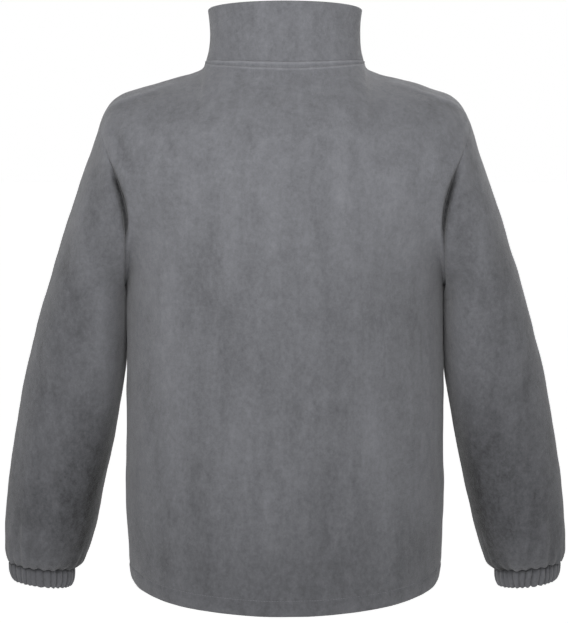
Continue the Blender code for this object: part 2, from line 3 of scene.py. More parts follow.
import bmesh
import bpy
import numpy as np
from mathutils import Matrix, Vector


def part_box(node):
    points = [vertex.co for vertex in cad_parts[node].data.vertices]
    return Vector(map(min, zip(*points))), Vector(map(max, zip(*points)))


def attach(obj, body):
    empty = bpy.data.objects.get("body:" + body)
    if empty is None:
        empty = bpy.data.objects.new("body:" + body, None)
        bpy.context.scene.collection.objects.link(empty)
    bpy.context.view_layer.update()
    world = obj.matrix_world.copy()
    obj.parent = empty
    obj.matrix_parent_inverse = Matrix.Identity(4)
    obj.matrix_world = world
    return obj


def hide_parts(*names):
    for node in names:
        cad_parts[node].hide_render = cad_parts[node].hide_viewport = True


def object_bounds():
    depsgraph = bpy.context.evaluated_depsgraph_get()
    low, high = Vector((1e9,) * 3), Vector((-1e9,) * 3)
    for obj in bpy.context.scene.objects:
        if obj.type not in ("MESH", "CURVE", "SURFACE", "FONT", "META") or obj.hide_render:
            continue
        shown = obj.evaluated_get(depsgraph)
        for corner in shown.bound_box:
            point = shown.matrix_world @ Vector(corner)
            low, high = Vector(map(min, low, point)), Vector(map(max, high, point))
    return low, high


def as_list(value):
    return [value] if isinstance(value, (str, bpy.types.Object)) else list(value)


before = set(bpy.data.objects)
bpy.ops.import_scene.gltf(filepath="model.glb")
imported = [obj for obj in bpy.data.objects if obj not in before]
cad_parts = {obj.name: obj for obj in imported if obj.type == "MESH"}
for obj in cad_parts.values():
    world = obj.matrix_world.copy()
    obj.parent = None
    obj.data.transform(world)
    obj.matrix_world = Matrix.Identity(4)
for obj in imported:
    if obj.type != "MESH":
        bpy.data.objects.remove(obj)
cadLow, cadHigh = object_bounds()
print("frame loaded:", len(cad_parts), "nodes")


# cubic between two ends: their places and slopes, weighed by the square and the cube of the share
def hermite(start, leave, end, arrive, share):
    square = share * share
    cube = square * share
    return (start * (2 * cube - 3 * square + 1) + leave * (cube - 2 * square + share)
            + end * (3 * square - 2 * cube) + arrive * (cube - square))


# a smooth curve through a table: cubic pieces, whose slope at a knot is the mean of the two chords
# that meet there, each weighed by the other's step
def smoothTable(at, knots, values):
    knots = np.asarray(knots, float)
    values = np.asarray(values, float)
    wide = values.ndim > 1
    step = np.diff(knots)[:, None] if wide else np.diff(knots)
    chord = np.diff(values, axis=0) / step
    slope = np.empty_like(values)
    slope[0], slope[-1] = chord[0], chord[-1]
    slope[1:-1] = (chord[:-1] * step[1:] + chord[1:] * step[:-1]) / (step[1:] + step[:-1])
    at = np.clip(np.asarray(at, float), knots[0], knots[-1])
    cell = np.clip(np.searchsorted(knots, at, side="right") - 1, 0, len(knots) - 2)
    width = knots[cell + 1] - knots[cell]
    share = (at - knots[cell]) / width
    if wide:
        share, width = share[..., None], width[..., None]
    return hermite(values[cell], slope[cell] * width, values[cell + 1], slope[cell + 1] * width, share)


# points from their three coordinates
def stack(x, y, z):
    return np.stack(np.broadcast_arrays(x, y, z), axis=-1)


# each vector divided by its length
def unit(vectors):
    return vectors / np.maximum(np.linalg.norm(vectors, axis=-1, keepdims=True), 1e-12)


# distance run along a line of points: the sum of the steps so far
def runAlong(line):
    steps = np.linalg.norm(np.diff(line, axis=0), axis=-1)
    return np.concatenate([np.zeros((1,) + steps.shape[1:]), np.cumsum(steps, axis=0)])


# 0 below low, 1 above high, and between them three squares less two cubes of the share
def fade(value, low, high):
    share = np.clip((value - low) / (high - low), 0, 1)
    return share * share * (3 - 2 * share)


# 1 between a rise and a fall, 0 outside both: one fade times one less the other
def within(value, rise, fall):
    return fade(value, *rise) * (1 - fade(value, *fall))


# a bell: the height times e to the minus square of (value - at) / width
def bell(value, at, width, height=1.0):
    return height * np.exp(-((value - at) / width) ** 2)


# several bells added up
def bells(value, rows):
    return sum(bell(value, *row) for row in rows)


# numbers from the first end to the last, evenly spaced in each stretch between two ends
def spaced(ends, counts):
    parts = [np.linspace(low, high, count)[:-1] for low, high, count in zip(ends, ends[1:], counts)]
    return np.append(np.concatenate(parts), ends[-1])


# one socket of a material: each operator adds the Math node that works it out
class Wire:
    def __init__(self, paint, socket):
        self.paint = paint
        self.socket = socket

    def work(self, operation, *values):
        node = self.paint.add("ShaderNodeMath", {"operation": operation}, dict(enumerate(values)))
        return Wire(self.paint, node.outputs[0])

    def __add__(self, other):
        return self.work("ADD", self, other)

    def __sub__(self, other):
        return self.work("SUBTRACT", self, other)

    def __rsub__(self, other):
        return self.work("SUBTRACT", other, self)

    def __mul__(self, other):
        return self.work("MULTIPLY", self, other)

    __radd__ = __add__
    __rmul__ = __mul__

    def wave(self):
        return self.work("SINE", self)

    # held between 0 and 1
    def clamp(self):
        return self.work("MINIMUM", self.work("MAXIMUM", self, 0.0), 1.0)


# a material and the nodes added to it
class Paint:
    def __init__(self, name):
        self.material = bpy.data.materials.new(name)
        self.material.use_nodes = True
        self.tree = self.material.node_tree
        self.shader = self.tree.nodes["Principled BSDF"]

    # a link from a wire or a socket, or else a plain value
    def put(self, socket, value):
        if isinstance(value, Wire):
            value = value.socket
        if isinstance(value, bpy.types.NodeSocket):
            self.tree.links.new(value, socket)
        else:
            socket.default_value = value

    # any node, from its type, its settings and the values or links of its sockets
    def add(self, kind, settings=None, values=None):
        node = self.tree.nodes.new(kind)
        for key, value in (settings or {}).items():
            setattr(node, key, value)
        for key, value in (values or {}).items():
            self.put(node.inputs[key], value)
        return node

    # one output of a new node
    def wire(self, kind, settings=None, values=None, output=0):
        return Wire(self, self.add(kind, settings, values).outputs[output])

    # object coordinates times the scale
    def place(self, scale=(1, 1, 1)):
        coordinates = self.add("ShaderNodeTexCoord").outputs["Object"]
        return self.wire("ShaderNodeMapping", None, {"Vector": coordinates, "Scale": scale})

    # noise from 0 to 1, about 0.5 on average
    def noise(self, scale, detail=2.0, rough=0.5, stretch=(1, 1, 1)):
        return self.wire("ShaderNodeTexNoise", None, {"Vector": self.place(stretch), "Scale": scale,
                                                      "Detail": detail, "Roughness": rough})

    # the x, y and z of object coordinates
    def axes(self):
        parts = self.add("ShaderNodeSeparateXYZ", None, {0: self.place()})
        return [Wire(self, output) for output in parts.outputs]

    # first x (1 - share) + second x share
    def mixColor(self, share, first, second):
        return self.wire("ShaderNodeMix", {"data_type": "RGBA"}, {0: share, 6: first, 7: second}, 2)

    # a normal tilted by the height's slope, on top of another normal where one is given
    def bump(self, height, distance, strength=1.0, normal=None):
        values = {"Height": height, "Distance": distance, "Strength": strength}
        if normal is not None:
            values["Normal"] = normal
        return self.wire("ShaderNodeBump", None, values)

    # the shader's sockets by name, with _ for a space
    def set(self, **sockets):
        for key, value in sockets.items():
            self.put(self.shader.inputs[key.replace("_", " ")], value)
        return self.material


fleece = {
    "color": (0.1148, 0.1166, 0.1264), "cuffShade": 0.72, "rough": 0.92, "roughChange": 0.1,
    "gloss": 0.12, "sheen": 0.18, "sheenRough": 0.55,
    # noise: scale, amount, detail, roughness; bump: height, strength
    "grain": (430, 0.36, 3.0, 0.65), "fibre": (1500, 0.12, 2.0, 0.6),
    "grainBump": (0.0010, 0.8), "fibreBump": (0.0005, 0.7),
    # patches where the nap lies lighter or darker: scale, amount, detail, roughness, scale up and down
    "patches": [(9, 0.14, 2.0, 0.5, 1), (42, 0.46, 3.0, 0.55, 0.22), (70, 0.42, 3.0, 0.6, 0.7),
                (190, 0.50, 2.5, 0.6, 0.8)],
}


# brushed knit: color = base x (1 + point tone + patches of several sizes), where the point tone is painted
# light and shade and partly the nap's own lie; fine grain and short fibres as bumps
def paintFleece(name, shade=1.0):
    paint = Paint(name)
    grainScale, grainAmount, *grainNoise = fleece["grain"]
    fibreScale, fibreAmount, *fibreNoise = fleece["fibre"]
    grain = paint.noise(grainScale, *grainNoise)
    fibre = paint.noise(fibreScale, *fibreNoise)
    change = (grain - 0.5) * grainAmount + (fibre - 0.5) * fibreAmount
    for scale, amount, detail, rough, upright in fleece["patches"]:
        change += (paint.noise(scale, detail, rough, (1, 1, upright)) - 0.5) * amount
    # the point attribute: painted light and shade, and partly the nap's own lighter and darker lie
    nap = paint.wire("ShaderNodeAttribute", {"attribute_name": "nap"}, None, 2)
    share = (1 + change + nap) * 0.5     # half way is the base color, so the far end is twice as light
    light = tuple(2 * value * shade for value in fleece["color"]) + (1,)
    color = paint.mixColor(share.clamp(), (0, 0, 0, 1), light)
    coarse = paint.bump(grain, *fleece["grainBump"])
    normal = paint.bump(fibre, *fleece["fibreBump"], coarse)
    rough = fleece["rough"] + (grain - 0.5) * fleece["roughChange"]
    return paint.set(Base_Color=color, Roughness=rough, Normal=normal, Specular_IOR_Level=fleece["gloss"],
                     Sheen_Weight=fleece["sheen"], Sheen_Roughness=fleece["sheenRough"])


thread = {"dark": (0.105, 0.107, 0.116, 1), "light": (0.165, 0.168, 0.180, 1), "twist": 2600, "rough": 0.6,
          "bump": (0.0002, 0.5)}


# plain thread, a little glossier than the cloth: its twist mixes two greys
def paintThread():
    paint = Paint("threadPaint")
    twist = paint.noise(thread["twist"], 1.0)
    color = paint.mixColor(twist, thread["dark"], thread["light"])
    return paint.set(Base_Color=color, Roughness=thread["rough"], Normal=paint.bump(twist, *thread["bump"]))


tapeWeave = {"dark": (0.055, 0.056, 0.060, 1), "light": (0.095, 0.096, 0.102, 1), "acrossPitch": 0.0008,
             "upPitch": 0.0011, "rough": 0.85, "bump": (0.00015, 0.8)}


# woven tape: the product of a sine wave across and one up mixes two greys
def paintTape():
    paint = Paint("tapePaint")
    x, _, z = paint.axes()
    ribs = (x * (math.tau / tapeWeave["acrossPitch"])).wave()
    weave = ribs * (z * (math.tau / tapeWeave["upPitch"])).wave()
    color = paint.mixColor(weave * 0.5 + 0.5, tapeWeave["dark"], tapeWeave["light"])
    return paint.set(Base_Color=color, Roughness=tapeWeave["rough"],
                     Normal=paint.bump(weave, *tapeWeave["bump"]))


coilPlastic = {"dark": (0.050, 0.051, 0.055, 1), "light": (0.082, 0.083, 0.088, 1), "wear": 900,
               "rough": 0.35, "roughChange": 0.15}


# moulded coil: wear mixes two greys and roughens it
def paintCoil():
    paint = Paint("coilPaint")
    wear = paint.noise(coilPlastic["wear"])
    color = paint.mixColor(wear, coilPlastic["dark"], coilPlastic["light"])
    return paint.set(Base_Color=color, Roughness=coilPlastic["rough"] + wear * coilPlastic["roughChange"])


sliderMetal = {"dark": (0.16, 0.16, 0.168, 1), "light": (0.27, 0.27, 0.28, 1), "rub": (700, 3.0, 0.6),
               "metallic": 0.85, "rough": 0.30, "roughChange": 0.18, "bump": (0.00008, 0.3)}


# satin painted metal, lightly rubbed: the rubbing mixes two greys and roughens it
def paintMetal():
    paint = Paint("sliderPaint")
    rub = paint.noise(*sliderMetal["rub"])
    color = paint.mixColor(rub, sliderMetal["dark"], sliderMetal["light"])
    return paint.set(Base_Color=color, Metallic=sliderMetal["metallic"],
                     Roughness=sliderMetal["rough"] + rub * sliderMetal["roughChange"],
                     Normal=paint.bump(rub, *sliderMetal["bump"]))


bodyPaint = paintFleece("fleecePaint")
cuffPaint = paintFleece("cuffFleecePaint", fleece["cuffShade"])
threadPaint = paintThread()
tapePaint = paintTape()
coilPaint = paintCoil()
sliderPaint = paintMetal()
print("materials made")

# the torso's levels from hem to underarm: side height, half width, depth to back and to front
torsoLevels = np.array([
    (-0.683, 0.2050, 0.1500, -0.1480),
    (-0.658, 0.2078, 0.1500, -0.1485),
    (-0.640, 0.2090, 0.1490, -0.1488),
    (-0.605, 0.2110, 0.1480, -0.1490),
    (-0.500, 0.2104, 0.1440, -0.1490),
    (-0.400, 0.2097, 0.1420, -0.1480),
    (-0.295, 0.2088, 0.1400, -0.1460),
])
# the shoulder seam from the neck to its tip: across, height
shoulderSeam = np.array([
    (0.1040, 0.0000), (0.1070, -0.0075), (0.1192, -0.0140), (0.1465, -0.0216), (0.1756, -0.0296),
    (0.2006, -0.0375), (0.2180, -0.0454), (0.2290, -0.0550), (0.2370, -0.0670), (0.2425, -0.0800),
])
torso = {
    "neckHalfWidth": 0.104, "neckShare": 5 / 12, "tipY": -0.002, "bulge": 1.6, "flare": 0.30,
    "cornerPower": 8, "sidePower": 3,
    "wall": 0.0022, "hemWall": 0.0042, "seamGap": 0.00006, "hemDepth": 0.020, "edgeX": 0.0052,
}
# each half's rows: the hem and underarm in the middle, the blade row half way up, the neck and the way over
backHalf = {
    "facing": 1, "edgeX": 0.0, "hemMidZ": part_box("back")[0].z, "underMidZ": -0.270,
    "bladeX": 0.2110, "bladeY": 0.086, "bladeZ": -0.172, "bladeMidY": 0.1290, "bladeMidZ": -0.130,
    "turn": math.radians(64), "lean": 0.22, "neckDepth": 0.064, "neckDrop": 0.003,
    "riseMid": math.radians(52), "riseNeck": math.radians(22), "column": 2,
}
frontHalf = {
    "facing": -1, "edgeX": torso["edgeX"], "hemMidZ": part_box("front_left")[0].z, "underMidZ": -0.285,
    "bladeX": 0.2120, "bladeY": 0.074, "bladeZ": -0.172, "bladeMidY": 0.1330, "bladeMidZ": -0.160,
    "turn": math.radians(64), "lean": 0.20, "neckDepth": 0.078, "neckDrop": 0.045,
    "riseMid": math.radians(58), "riseNeck": math.radians(22), "column": 3,
}


# one level of the torso, a quarter oval from the middle (s 0) to the side seam (s 1): width by the sine
# of the turn, depth and dip by its cosine
def ringRow(half, s, share):
    sideZ = torsoLevels[0, 0] + share * (torsoLevels[-1, 0] - torsoLevels[0, 0])
    width = smoothTable(sideZ, torsoLevels[:, 0], torsoLevels[:, 1])
    depth = smoothTable(sideZ, torsoLevels[:, 0], torsoLevels[:, half["column"]])
    midZ = half["hemMidZ"] + share * (half["underMidZ"] - half["hemMidZ"])
    angle = s * math.pi / 2
    return stack(half["edgeX"] + (width - half["edgeX"]) * np.sin(angle), depth * np.cos(angle),
                 sideZ + (midZ - sideZ) * np.cos(angle))


# the row across the shoulder blades or the chest, ending half way up the armhole: width by the sine of
# part of a turn, depth and height by its cosine
def bladeRow(half, s):
    turn = half["turn"]
    across = np.sin(s * turn) / math.sin(turn)
    mid = (np.cos(s * turn) - math.cos(turn)) / (1 - math.cos(turn))
    return stack(half["edgeX"] + (half["bladeX"] - half["edgeX"]) * across,
                 half["facing"] * (half["bladeY"] + (half["bladeMidY"] - half["bladeY"]) * mid),
                 half["bladeZ"] + (half["bladeMidZ"] - half["bladeZ"]) * mid)


# the top edge: a quarter oval of neck seam, then the shoulder seam out to its tip
def topRow(half, s):
    turn = np.clip(s / torso["neckShare"], 0, 1) * math.pi / 2
    neck = stack(half["edgeX"] + (torso["neckHalfWidth"] - half["edgeX"]) * np.sin(turn),
                 torso["tipY"] + half["facing"] * half["neckDepth"] * np.cos(turn),
                 -half["neckDrop"] * (1 - np.sin(turn)))
    run = runAlong(shoulderSeam)
    along = np.clip((s - torso["neckShare"]) / (1 - torso["neckShare"]), 0, 1) * run[-1]
    seam = smoothTable(along, run, shoulderSeam)
    shoulder = stack(seam[..., 0], torso["tipY"], seam[..., 1])
    return np.where((s > torso["neckShare"])[..., None], shoulder, neck)


# underarm level up to the blade row: cubic columns; the side column is the lower armhole
def armholePanel(half, s, share):
    start, end = ringRow(half, s, 1.0), bladeRow(half, s)
    climb = (end - start)[..., 2]
    corner = s ** torso["cornerPower"]
    side = s ** torso["sidePower"]
    stretch = 1 + (torso["bulge"] - 1) * corner
    leave = stack(0, corner * torso["bulge"] * half["facing"] * half["bladeY"], (1 - corner) * climb)
    lean = -half["facing"] * half["lean"] * (1 - side)
    arrive = stack(torso["flare"] * side * climb * stretch, lean * climb, climb * stretch)
    return hermite(start, leave, end, arrive, share)


# blade row up to the shoulder and neck seams: cubic columns that turn over the shoulder
def yokePanel(half, s, share):
    start, end = bladeRow(half, s), topRow(half, s)
    climb = (end - start)[..., 2]
    back = np.abs((end - start)[..., 1])
    side = s ** torso["sidePower"]
    lean = -half["facing"] * half["lean"] * (1 - side)
    leave = stack(torso["flare"] * side * climb, lean * climb, climb) * torso["bulge"]
    rise = np.interp(s, [0, torso["neckShare"], 1], [half["riseMid"], half["riseNeck"], 0])
    arrive = stack(0, -half["facing"] * back * np.cos(rise), climb * np.sin(rise)) * torso["bulge"]
    return hermite(start, leave, end, arrive, share)


# shares of rows and columns, closer together at the hem, at the seams and beside the zip
hemShare = torso["hemDepth"] / (torsoLevels[-1, 0] - torsoLevels[0, 0])
lowerShares = spaced((0, 1.3 * hemShare, 1), (27, 84))
armholeShares = spaced((0, 1), (33,))[1:]
yokeShares = spaced((0, 0.90, 1), (36, 17))[1:]
sideColumns = spaced((0, 0.95, 1), (64, 15))
frontColumns = spaced((0, 0.04, 0.95, 1), (9, 62, 15))


# rows from hem to top, columns from the middle to the side
def panelGrid(half, s):
    lower = ringRow(half, s[None, :], lowerShares[:, None])
    armhole = armholePanel(half, s[None, :], armholeShares[:, None, None])
    yoke = yokePanel(half, s[None, :], yokeShares[:, None, None])
    return np.concatenate([lower, armhole, yoke])


# outward directions: the cross product of the steps along the columns and along the rows
def gridOut(grid, closed=False):
    along = np.roll(grid, -1, 1) - np.roll(grid, 1, 1) if closed else np.gradient(grid, axis=1)
    return unit(np.cross(along, np.gradient(grid, axis=0)))


# folds: soft troughs (lift below 0) and ridges, each along a line across and down the cloth
# facing 1 lies on the back, -1 on the front; x is towards the wearer's left
foldNames = ("facing", "fromX", "fromZ", "toX", "toZ", "width", "lift")
folds = [
    # beside the armholes
    (1, 0.221, -0.084, 0.211, -0.107, 0.005, -0.003), (1, 0.211, -0.101, 0.205, -0.127, 0.005, -0.003),
    (1, 0.202, -0.106, 0.196, -0.14, 0.0055, -0.0024), (1, 0.207, -0.128, 0.202, -0.156, 0.005, 0.0016),
    (1, 0.19, -0.12, 0.184, -0.16, 0.009, -0.001),
    (1, -0.232, -0.074, -0.216, -0.104, 0.006, -0.0016), (1, -0.216, -0.104, -0.204, -0.132, 0.007, -0.0018),
    (1, -0.196, -0.11, -0.188, -0.146, 0.008, 0.0009),
    # long drapes down the back
    (1, 0.15, -0.27, 0.143, -0.43, 0.02, 0.0026), (1, 0.098, -0.18, 0.104, -0.33, 0.022, -0.0018),
    (1, 0.006, -0.06, -0.002, -0.17, 0.013, 0.0011), (1, -0.07, -0.06, -0.076, -0.19, 0.013, 0.0014),
    (1, -0.04, -0.12, -0.046, -0.26, 0.015, -0.0012), (1, -0.142, -0.13, -0.15, -0.24, 0.019, 0.0016),
    (1, -0.166, -0.29, -0.16, -0.37, 0.024, -0.0022), (1, -0.12, -0.42, -0.128, -0.6, 0.024, 0.0016),
    (1, 0.06, -0.42, 0.052, -0.56, 0.02, 0.0013), (1, 0.118, -0.47, 0.124, -0.62, 0.02, -0.0013),
    (1, -0.06, -0.47, -0.054, -0.64, 0.019, -0.0014), (1, 0.01, -0.52, 0.014, -0.64, 0.019, 0.0009),
    # the hem draws in a little over the hips
    (1, 0.2, -0.61, 0.15, -0.65, 0.017, -0.0012), (1, -0.2, -0.6, -0.158, -0.648, 0.017, -0.0012),
    # the front, plainer: drapes from the chest and beside the zip
    (-1, 0.228, -0.072, 0.208, -0.12, 0.0065, -0.002), (-1, -0.228, -0.072, -0.206, -0.126, 0.0065, -0.0018),
    (-1, 0.13, -0.2, 0.12, -0.42, 0.022, 0.0022), (-1, -0.128, -0.23, -0.136, -0.44, 0.024, 0.002),
    (-1, 0.08, -0.3, 0.086, -0.56, 0.02, -0.0018), (-1, -0.082, -0.26, -0.076, -0.52, 0.02, -0.0016),
    (-1, 0.04, -0.42, 0.036, -0.64, 0.016, 0.0012), (-1, -0.044, -0.46, -0.04, -0.64, 0.016, 0.0012),
    (-1, 0.15, -0.5, 0.158, -0.64, 0.02, -0.0014), (-1, -0.156, -0.48, -0.15, -0.64, 0.02, -0.0014),
]
sleeveFolds = [
    (1, 0.229, -0.118, 0.219, -0.15, 0.005, 0.0014), (1, 0.246, -0.12, 0.236, -0.19, 0.009, -0.0016),
    (1, 0.262, -0.19, 0.25, -0.29, 0.013, 0.0018), (1, 0.29, -0.23, 0.27, -0.33, 0.013, -0.002),
    (1, 0.238, -0.3, 0.246, -0.38, 0.012, 0.002), (1, 0.3, -0.33, 0.262, -0.366, 0.012, -0.0022),
    (1, 0.316, -0.372, 0.272, -0.412, 0.011, 0.0014), (1, 0.324, -0.42, 0.28, -0.446, 0.012, -0.0018),
    (1, 0.262, -0.44, 0.27, -0.54, 0.012, -0.0014), (1, 0.33, -0.48, 0.336, -0.58, 0.013, 0.0014),
    (1, 0.3, -0.54, 0.312, -0.63, 0.011, -0.0014), (1, 0.352, -0.6, 0.358, -0.655, 0.005, -0.0016),
    (1, 0.345, -0.6, 0.35, -0.655, 0.0045, 0.0016),
    (-1, 0.25, -0.12, 0.238, -0.2, 0.009, -0.0018), (-1, 0.27, -0.2, 0.256, -0.3, 0.013, 0.0018),
    (-1, 0.306, -0.3, 0.262, -0.35, 0.012, -0.0024), (-1, 0.312, -0.35, 0.266, -0.392, 0.011, 0.0018),
    (-1, 0.32, -0.4, 0.276, -0.43, 0.011, -0.0024), (-1, 0.33, -0.46, 0.3, -0.56, 0.013, 0.0016),
    (-1, 0.29, -0.52, 0.3, -0.62, 0.012, -0.0016),
]


# how far a fold bows, how its ends fade, how much a metre of height paints a ridge lighter and a trough
# darker, and the most it may
foldStyle = {"bow": 0.12, "start": (-0.25, 0.3), "end": (0.65, 1.25), "nap": 46, "napRange": (-0.20, 0.12)}


# height of the folds at each point: a bell across each fold's bowed line, fading over its ends
def foldLift(points, facing, rows, swing=1.0):
    lift = np.zeros(points.shape[:-1])
    for row in rows:
        fold = dict(zip(foldNames, row))
        x, z = points[..., 0] - fold["fromX"], points[..., 2] - fold["fromZ"]
        run = math.hypot(fold["toX"] - fold["fromX"], fold["toZ"] - fold["fromZ"])
        alongX, alongZ = (fold["toX"] - fold["fromX"]) / run, (fold["toZ"] - fold["fromZ"]) / run
        share = (x * alongX + z * alongZ) / run
        bow = foldStyle["bow"] * run * (0.25 - (np.clip(share, -0.5, 1.5) - 0.5) ** 2)
        off = z * alongX - x * alongZ - bow
        ends = within(share, foldStyle["start"], foldStyle["end"])
        onSide = np.clip(facing * fold["facing"], 0, 1)
        lift += onSide * swing * ends * bell(off, 0.0, fold["width"], fold["lift"])
    return lift


# a trough gets painted shade and a ridge a painted highlight: the height times a factor, held within the
# range
def foldPaintedLight(lift):
    return np.clip(lift * foldStyle["nap"], *foldStyle["napRange"])


# slow uneven waves over all the cloth: direction and reach of each wave, its height and start
restlessness = [
    ((70, 20, 24), 0.00035, 0.3), ((-44, 36, 52), 0.00035, 1.9), ((120, -60, 30), 0.00018, 4.0),
    ((-96, 90, -74), 0.00018, 2.2), ((180, 150, 110), 0.00010, 5.1), ((-210, 130, 160), 0.00010, 0.9),
]


# the waves added up: each height times the sine of the point's run along the wave
def restlessLift(points):
    lift = np.zeros(points.shape[:-1])
    for way, height, start in restlessness:
        lift += height * np.sin(points @ np.array(way, float) + start)
    return lift


# painted light and shade at each height, from the collar to the hem, and down the sleeves: lighter over the
# upper back, darker lower down where less light falls
paintedShadeByHeight = np.array([
    (0.080, -0.03), (0.000, 0.02), (-0.130, 0.04), (-0.230, 0.05), (-0.280, -0.03), (-0.330, -0.07),
    (-0.430, -0.06), (-0.480, -0.04), (-0.530, -0.08), (-0.580, -0.12), (-0.630, -0.21), (-0.660, -0.25),
    (-0.705, -0.22),
])
sleevePaintedShadeByHeight = np.array([
    (0.000, 0.00), (-0.120, -0.06), (-0.200, -0.16), (-0.300, -0.20), (-0.380, -0.24), (-0.450, -0.26),
    (-0.520, -0.34), (-0.600, -0.42), (-0.680, -0.34),
])
# painted lighter and darker patches, most on the folds' ridges and troughs, partly the nap's own lie: facing,
# x, z, reach across, reach down, change
paintedLightAndNapPatches = [
    (1, 0.150, -0.330, 0.022, 0.080, 0.06), (1, 0.006, -0.110, 0.014, 0.060, 0.05),
    (1, -0.070, -0.130, 0.016, 0.070, 0.05), (1, -0.140, -0.190, 0.018, 0.060, 0.05),
    (1, -0.160, -0.325, 0.026, 0.050, -0.07), (1, 0.170, -0.060, 0.050, 0.020, -0.05),
    (1, -0.180, -0.060, 0.050, 0.022, -0.05), (1, 0.060, -0.500, 0.030, 0.090, 0.03),
    (1, -0.090, -0.520, 0.040, 0.080, 0.02), (-1, 0.120, -0.300, 0.024, 0.090, 0.05),
    (-1, -0.130, -0.340, 0.024, 0.090, 0.05), (-1, 0.060, -0.160, 0.030, 0.060, -0.04),
]


# the table's change at each height, read along straight lines between its rows
def paintedShadeAt(z, table):
    return np.interp(z, table[::-1, 0], table[::-1, 1])


# sum of soft oval patches on one side of the body: each change times a bell across times a bell down
def patchPaintedLightAndNap(points, facing):
    nap = np.zeros(points.shape[:-1])
    for side, x, z, across, down, change in paintedLightAndNapPatches:
        off = ((points[..., 0] - x) / across) ** 2 + ((points[..., 2] - z) / down) ** 2
        nap += change * np.exp(-off) * (side == facing)
    return nap


# closed mesh from an outer grid and its inner one; columns join up where closed
def shellMesh(name, outer, inner, closed, paint):
    rows, cols = outer.shape[:2]
    index = np.arange(rows * cols).reshape(rows, cols)
    after = np.roll(index, -1, 1) if closed else index[:, 1:]
    before = index if closed else index[:, :-1]
    outerFaces = np.stack([before[:-1], after[:-1], after[1:], before[1:]], -1).reshape(-1, 4)
    under = rows * cols
    innerFaces = outerFaces[:, ::-1] + under
    low = np.stack([after[0], before[0], before[0] + under, after[0] + under], -1)
    high = np.stack([before[-1], after[-1], after[-1] + under, before[-1] + under], -1)
    parts = [outerFaces, innerFaces, low, high]
    if not closed:
        first, last = index[:, 0], index[:, -1]
        parts.append(np.stack([first[:-1], first[1:], first[1:] + under, first[:-1] + under], -1))
        parts.append(np.stack([last[1:], last[:-1], last[:-1] + under, last[1:] + under], -1))
    points = np.concatenate([outer.reshape(-1, 3), inner.reshape(-1, 3)])
    return meshFrom(name, points, np.concatenate(parts), paint)


# an object from arrays of points and of faces, which all have as many corners
def meshFrom(name, points, faces, paint, smooth=True):
    mesh = bpy.data.meshes.new(name)
    mesh.vertices.add(len(points))
    mesh.vertices.foreach_set("co", np.asarray(points, np.float32).ravel())
    corners = faces.shape[1]
    mesh.loops.add(faces.size)
    mesh.loops.foreach_set("vertex_index", faces.astype(np.int32).ravel())
    mesh.polygons.add(len(faces))
    mesh.polygons.foreach_set("loop_start", np.arange(0, faces.size, corners, dtype=np.int32))
    mesh.polygons.foreach_set("loop_total", np.full(len(faces), corners, np.int32))
    mesh.update(calc_edges=True)
    mesh.validate()
    mesh.materials.append(paint)
    if smooth:
        mesh.shade_smooth()
    thing = bpy.data.objects.new(name, mesh)
    bpy.context.scene.collection.objects.link(thing)
    return thing


# the border drawn in by half a seam gap, so that sewn pieces stay apart
def drawnIn(grid, closed):
    half = torso["seamGap"] / 2
    drawn = grid.copy()
    drawn[0] += unit(grid[1] - grid[0]) * half
    drawn[-1] += unit(grid[-2] - grid[-1]) * half
    if not closed:
        drawn[:, 0] += unit(grid[:, 1] - grid[:, 0]) * half
        drawn[:, -1] += unit(grid[:, -2] - grid[:, -1]) * half
    return drawn


mirrorX = np.array([-1.0, 1.0, 1.0])


# the other side of the body: x changes sign, and the columns run the other way so that faces point out
def mirrored(grid):
    return grid[:, ::-1] * mirrorX


# one cloth piece: its form, its wall, and how far each point stands off the form
class Cloth:
    def __init__(self, name, grid, wall, closed=False):
        self.name = name
        self.closed = closed
        self.grid = grid
        self.out = gridOut(grid, closed)
        self.wall = np.broadcast_to(np.asarray(wall, float), grid.shape[:2]).copy()
        self.lift = restlessLift(grid)
        # painted light and shade at each point, and partly the nap's own lie, which scales the color
        self.nap = np.zeros(grid.shape[:2])
        self.stretch = np.ones(grid.shape[:2])

    # rows and columns of the points on the piece's edges
    def border(self):
        row, col = np.indices(self.grid.shape[:2])
        edge = (row == 0) | (row == row.max())
        if not self.closed:
            edge |= (col == 0) | (col == col.max())
        return np.nonzero(edge)

    # outer face = form + outward x lift; inner face = outer - outward x wall
    def build(self, paint):
        self.face = drawnIn(self.grid, self.closed) + self.out * self.lift[..., None]
        inner = self.face - self.out * (self.wall * self.stretch)[..., None]
        shell = shellMesh(self.name, self.face, inner, self.closed, paint)
        # the points' painted light and shade, with the nap's own lie, stored for the material
        nap = shell.data.attributes.new("nap", "FLOAT", "POINT")
        nap.data.foreach_set("value", np.tile(self.nap.ravel(), 2).astype(np.float32))
        return shell


seamCells = 2e5     # cells a metre: edge points in one cell are one point of a seam
seamAlike = 0.35    # least cosine between two directions that join
seamSlant = 0.75    # least cosine that a wall's length is divided by


# both sides of a seam get one outward direction, so their walls meet without crossing: the unit sum of the
# directions at that point, and a wall longer by one over the cosine of its turn
def joinSeams(cloths):
    marks = [cloth.border() for cloth in cloths]
    points = np.concatenate([cloth.grid[mark] for cloth, mark in zip(cloths, marks)])
    outs = np.concatenate([cloth.out[mark] for cloth, mark in zip(cloths, marks)])
    place = np.unique(np.round(points * seamCells).astype(int), axis=0, return_inverse=True)[1].ravel()
    order = np.argsort(place, kind="stable")
    count = np.bincount(place)
    rank = np.arange(len(place)) - np.repeat(np.cumsum(count) - count, count)
    meeting = np.zeros((len(count), count.max(), 3))
    meeting[place[order], rank] = outs[order]
    others = meeting[place]
    alike = (others * outs[:, None]).sum(axis=-1) > seamAlike
    shared = unit((others * alike[..., None]).sum(axis=1))
    stretch = 1 / np.maximum((shared * outs).sum(axis=-1), seamSlant)
    splits = np.cumsum([len(mark[0]) for mark in marks])[:-1]
    for cloth, mark, out, more in zip(cloths, marks, np.split(shared, splits), np.split(stretch, splits)):
        cloth.out[mark] = out
        cloth.stretch[mark] = more
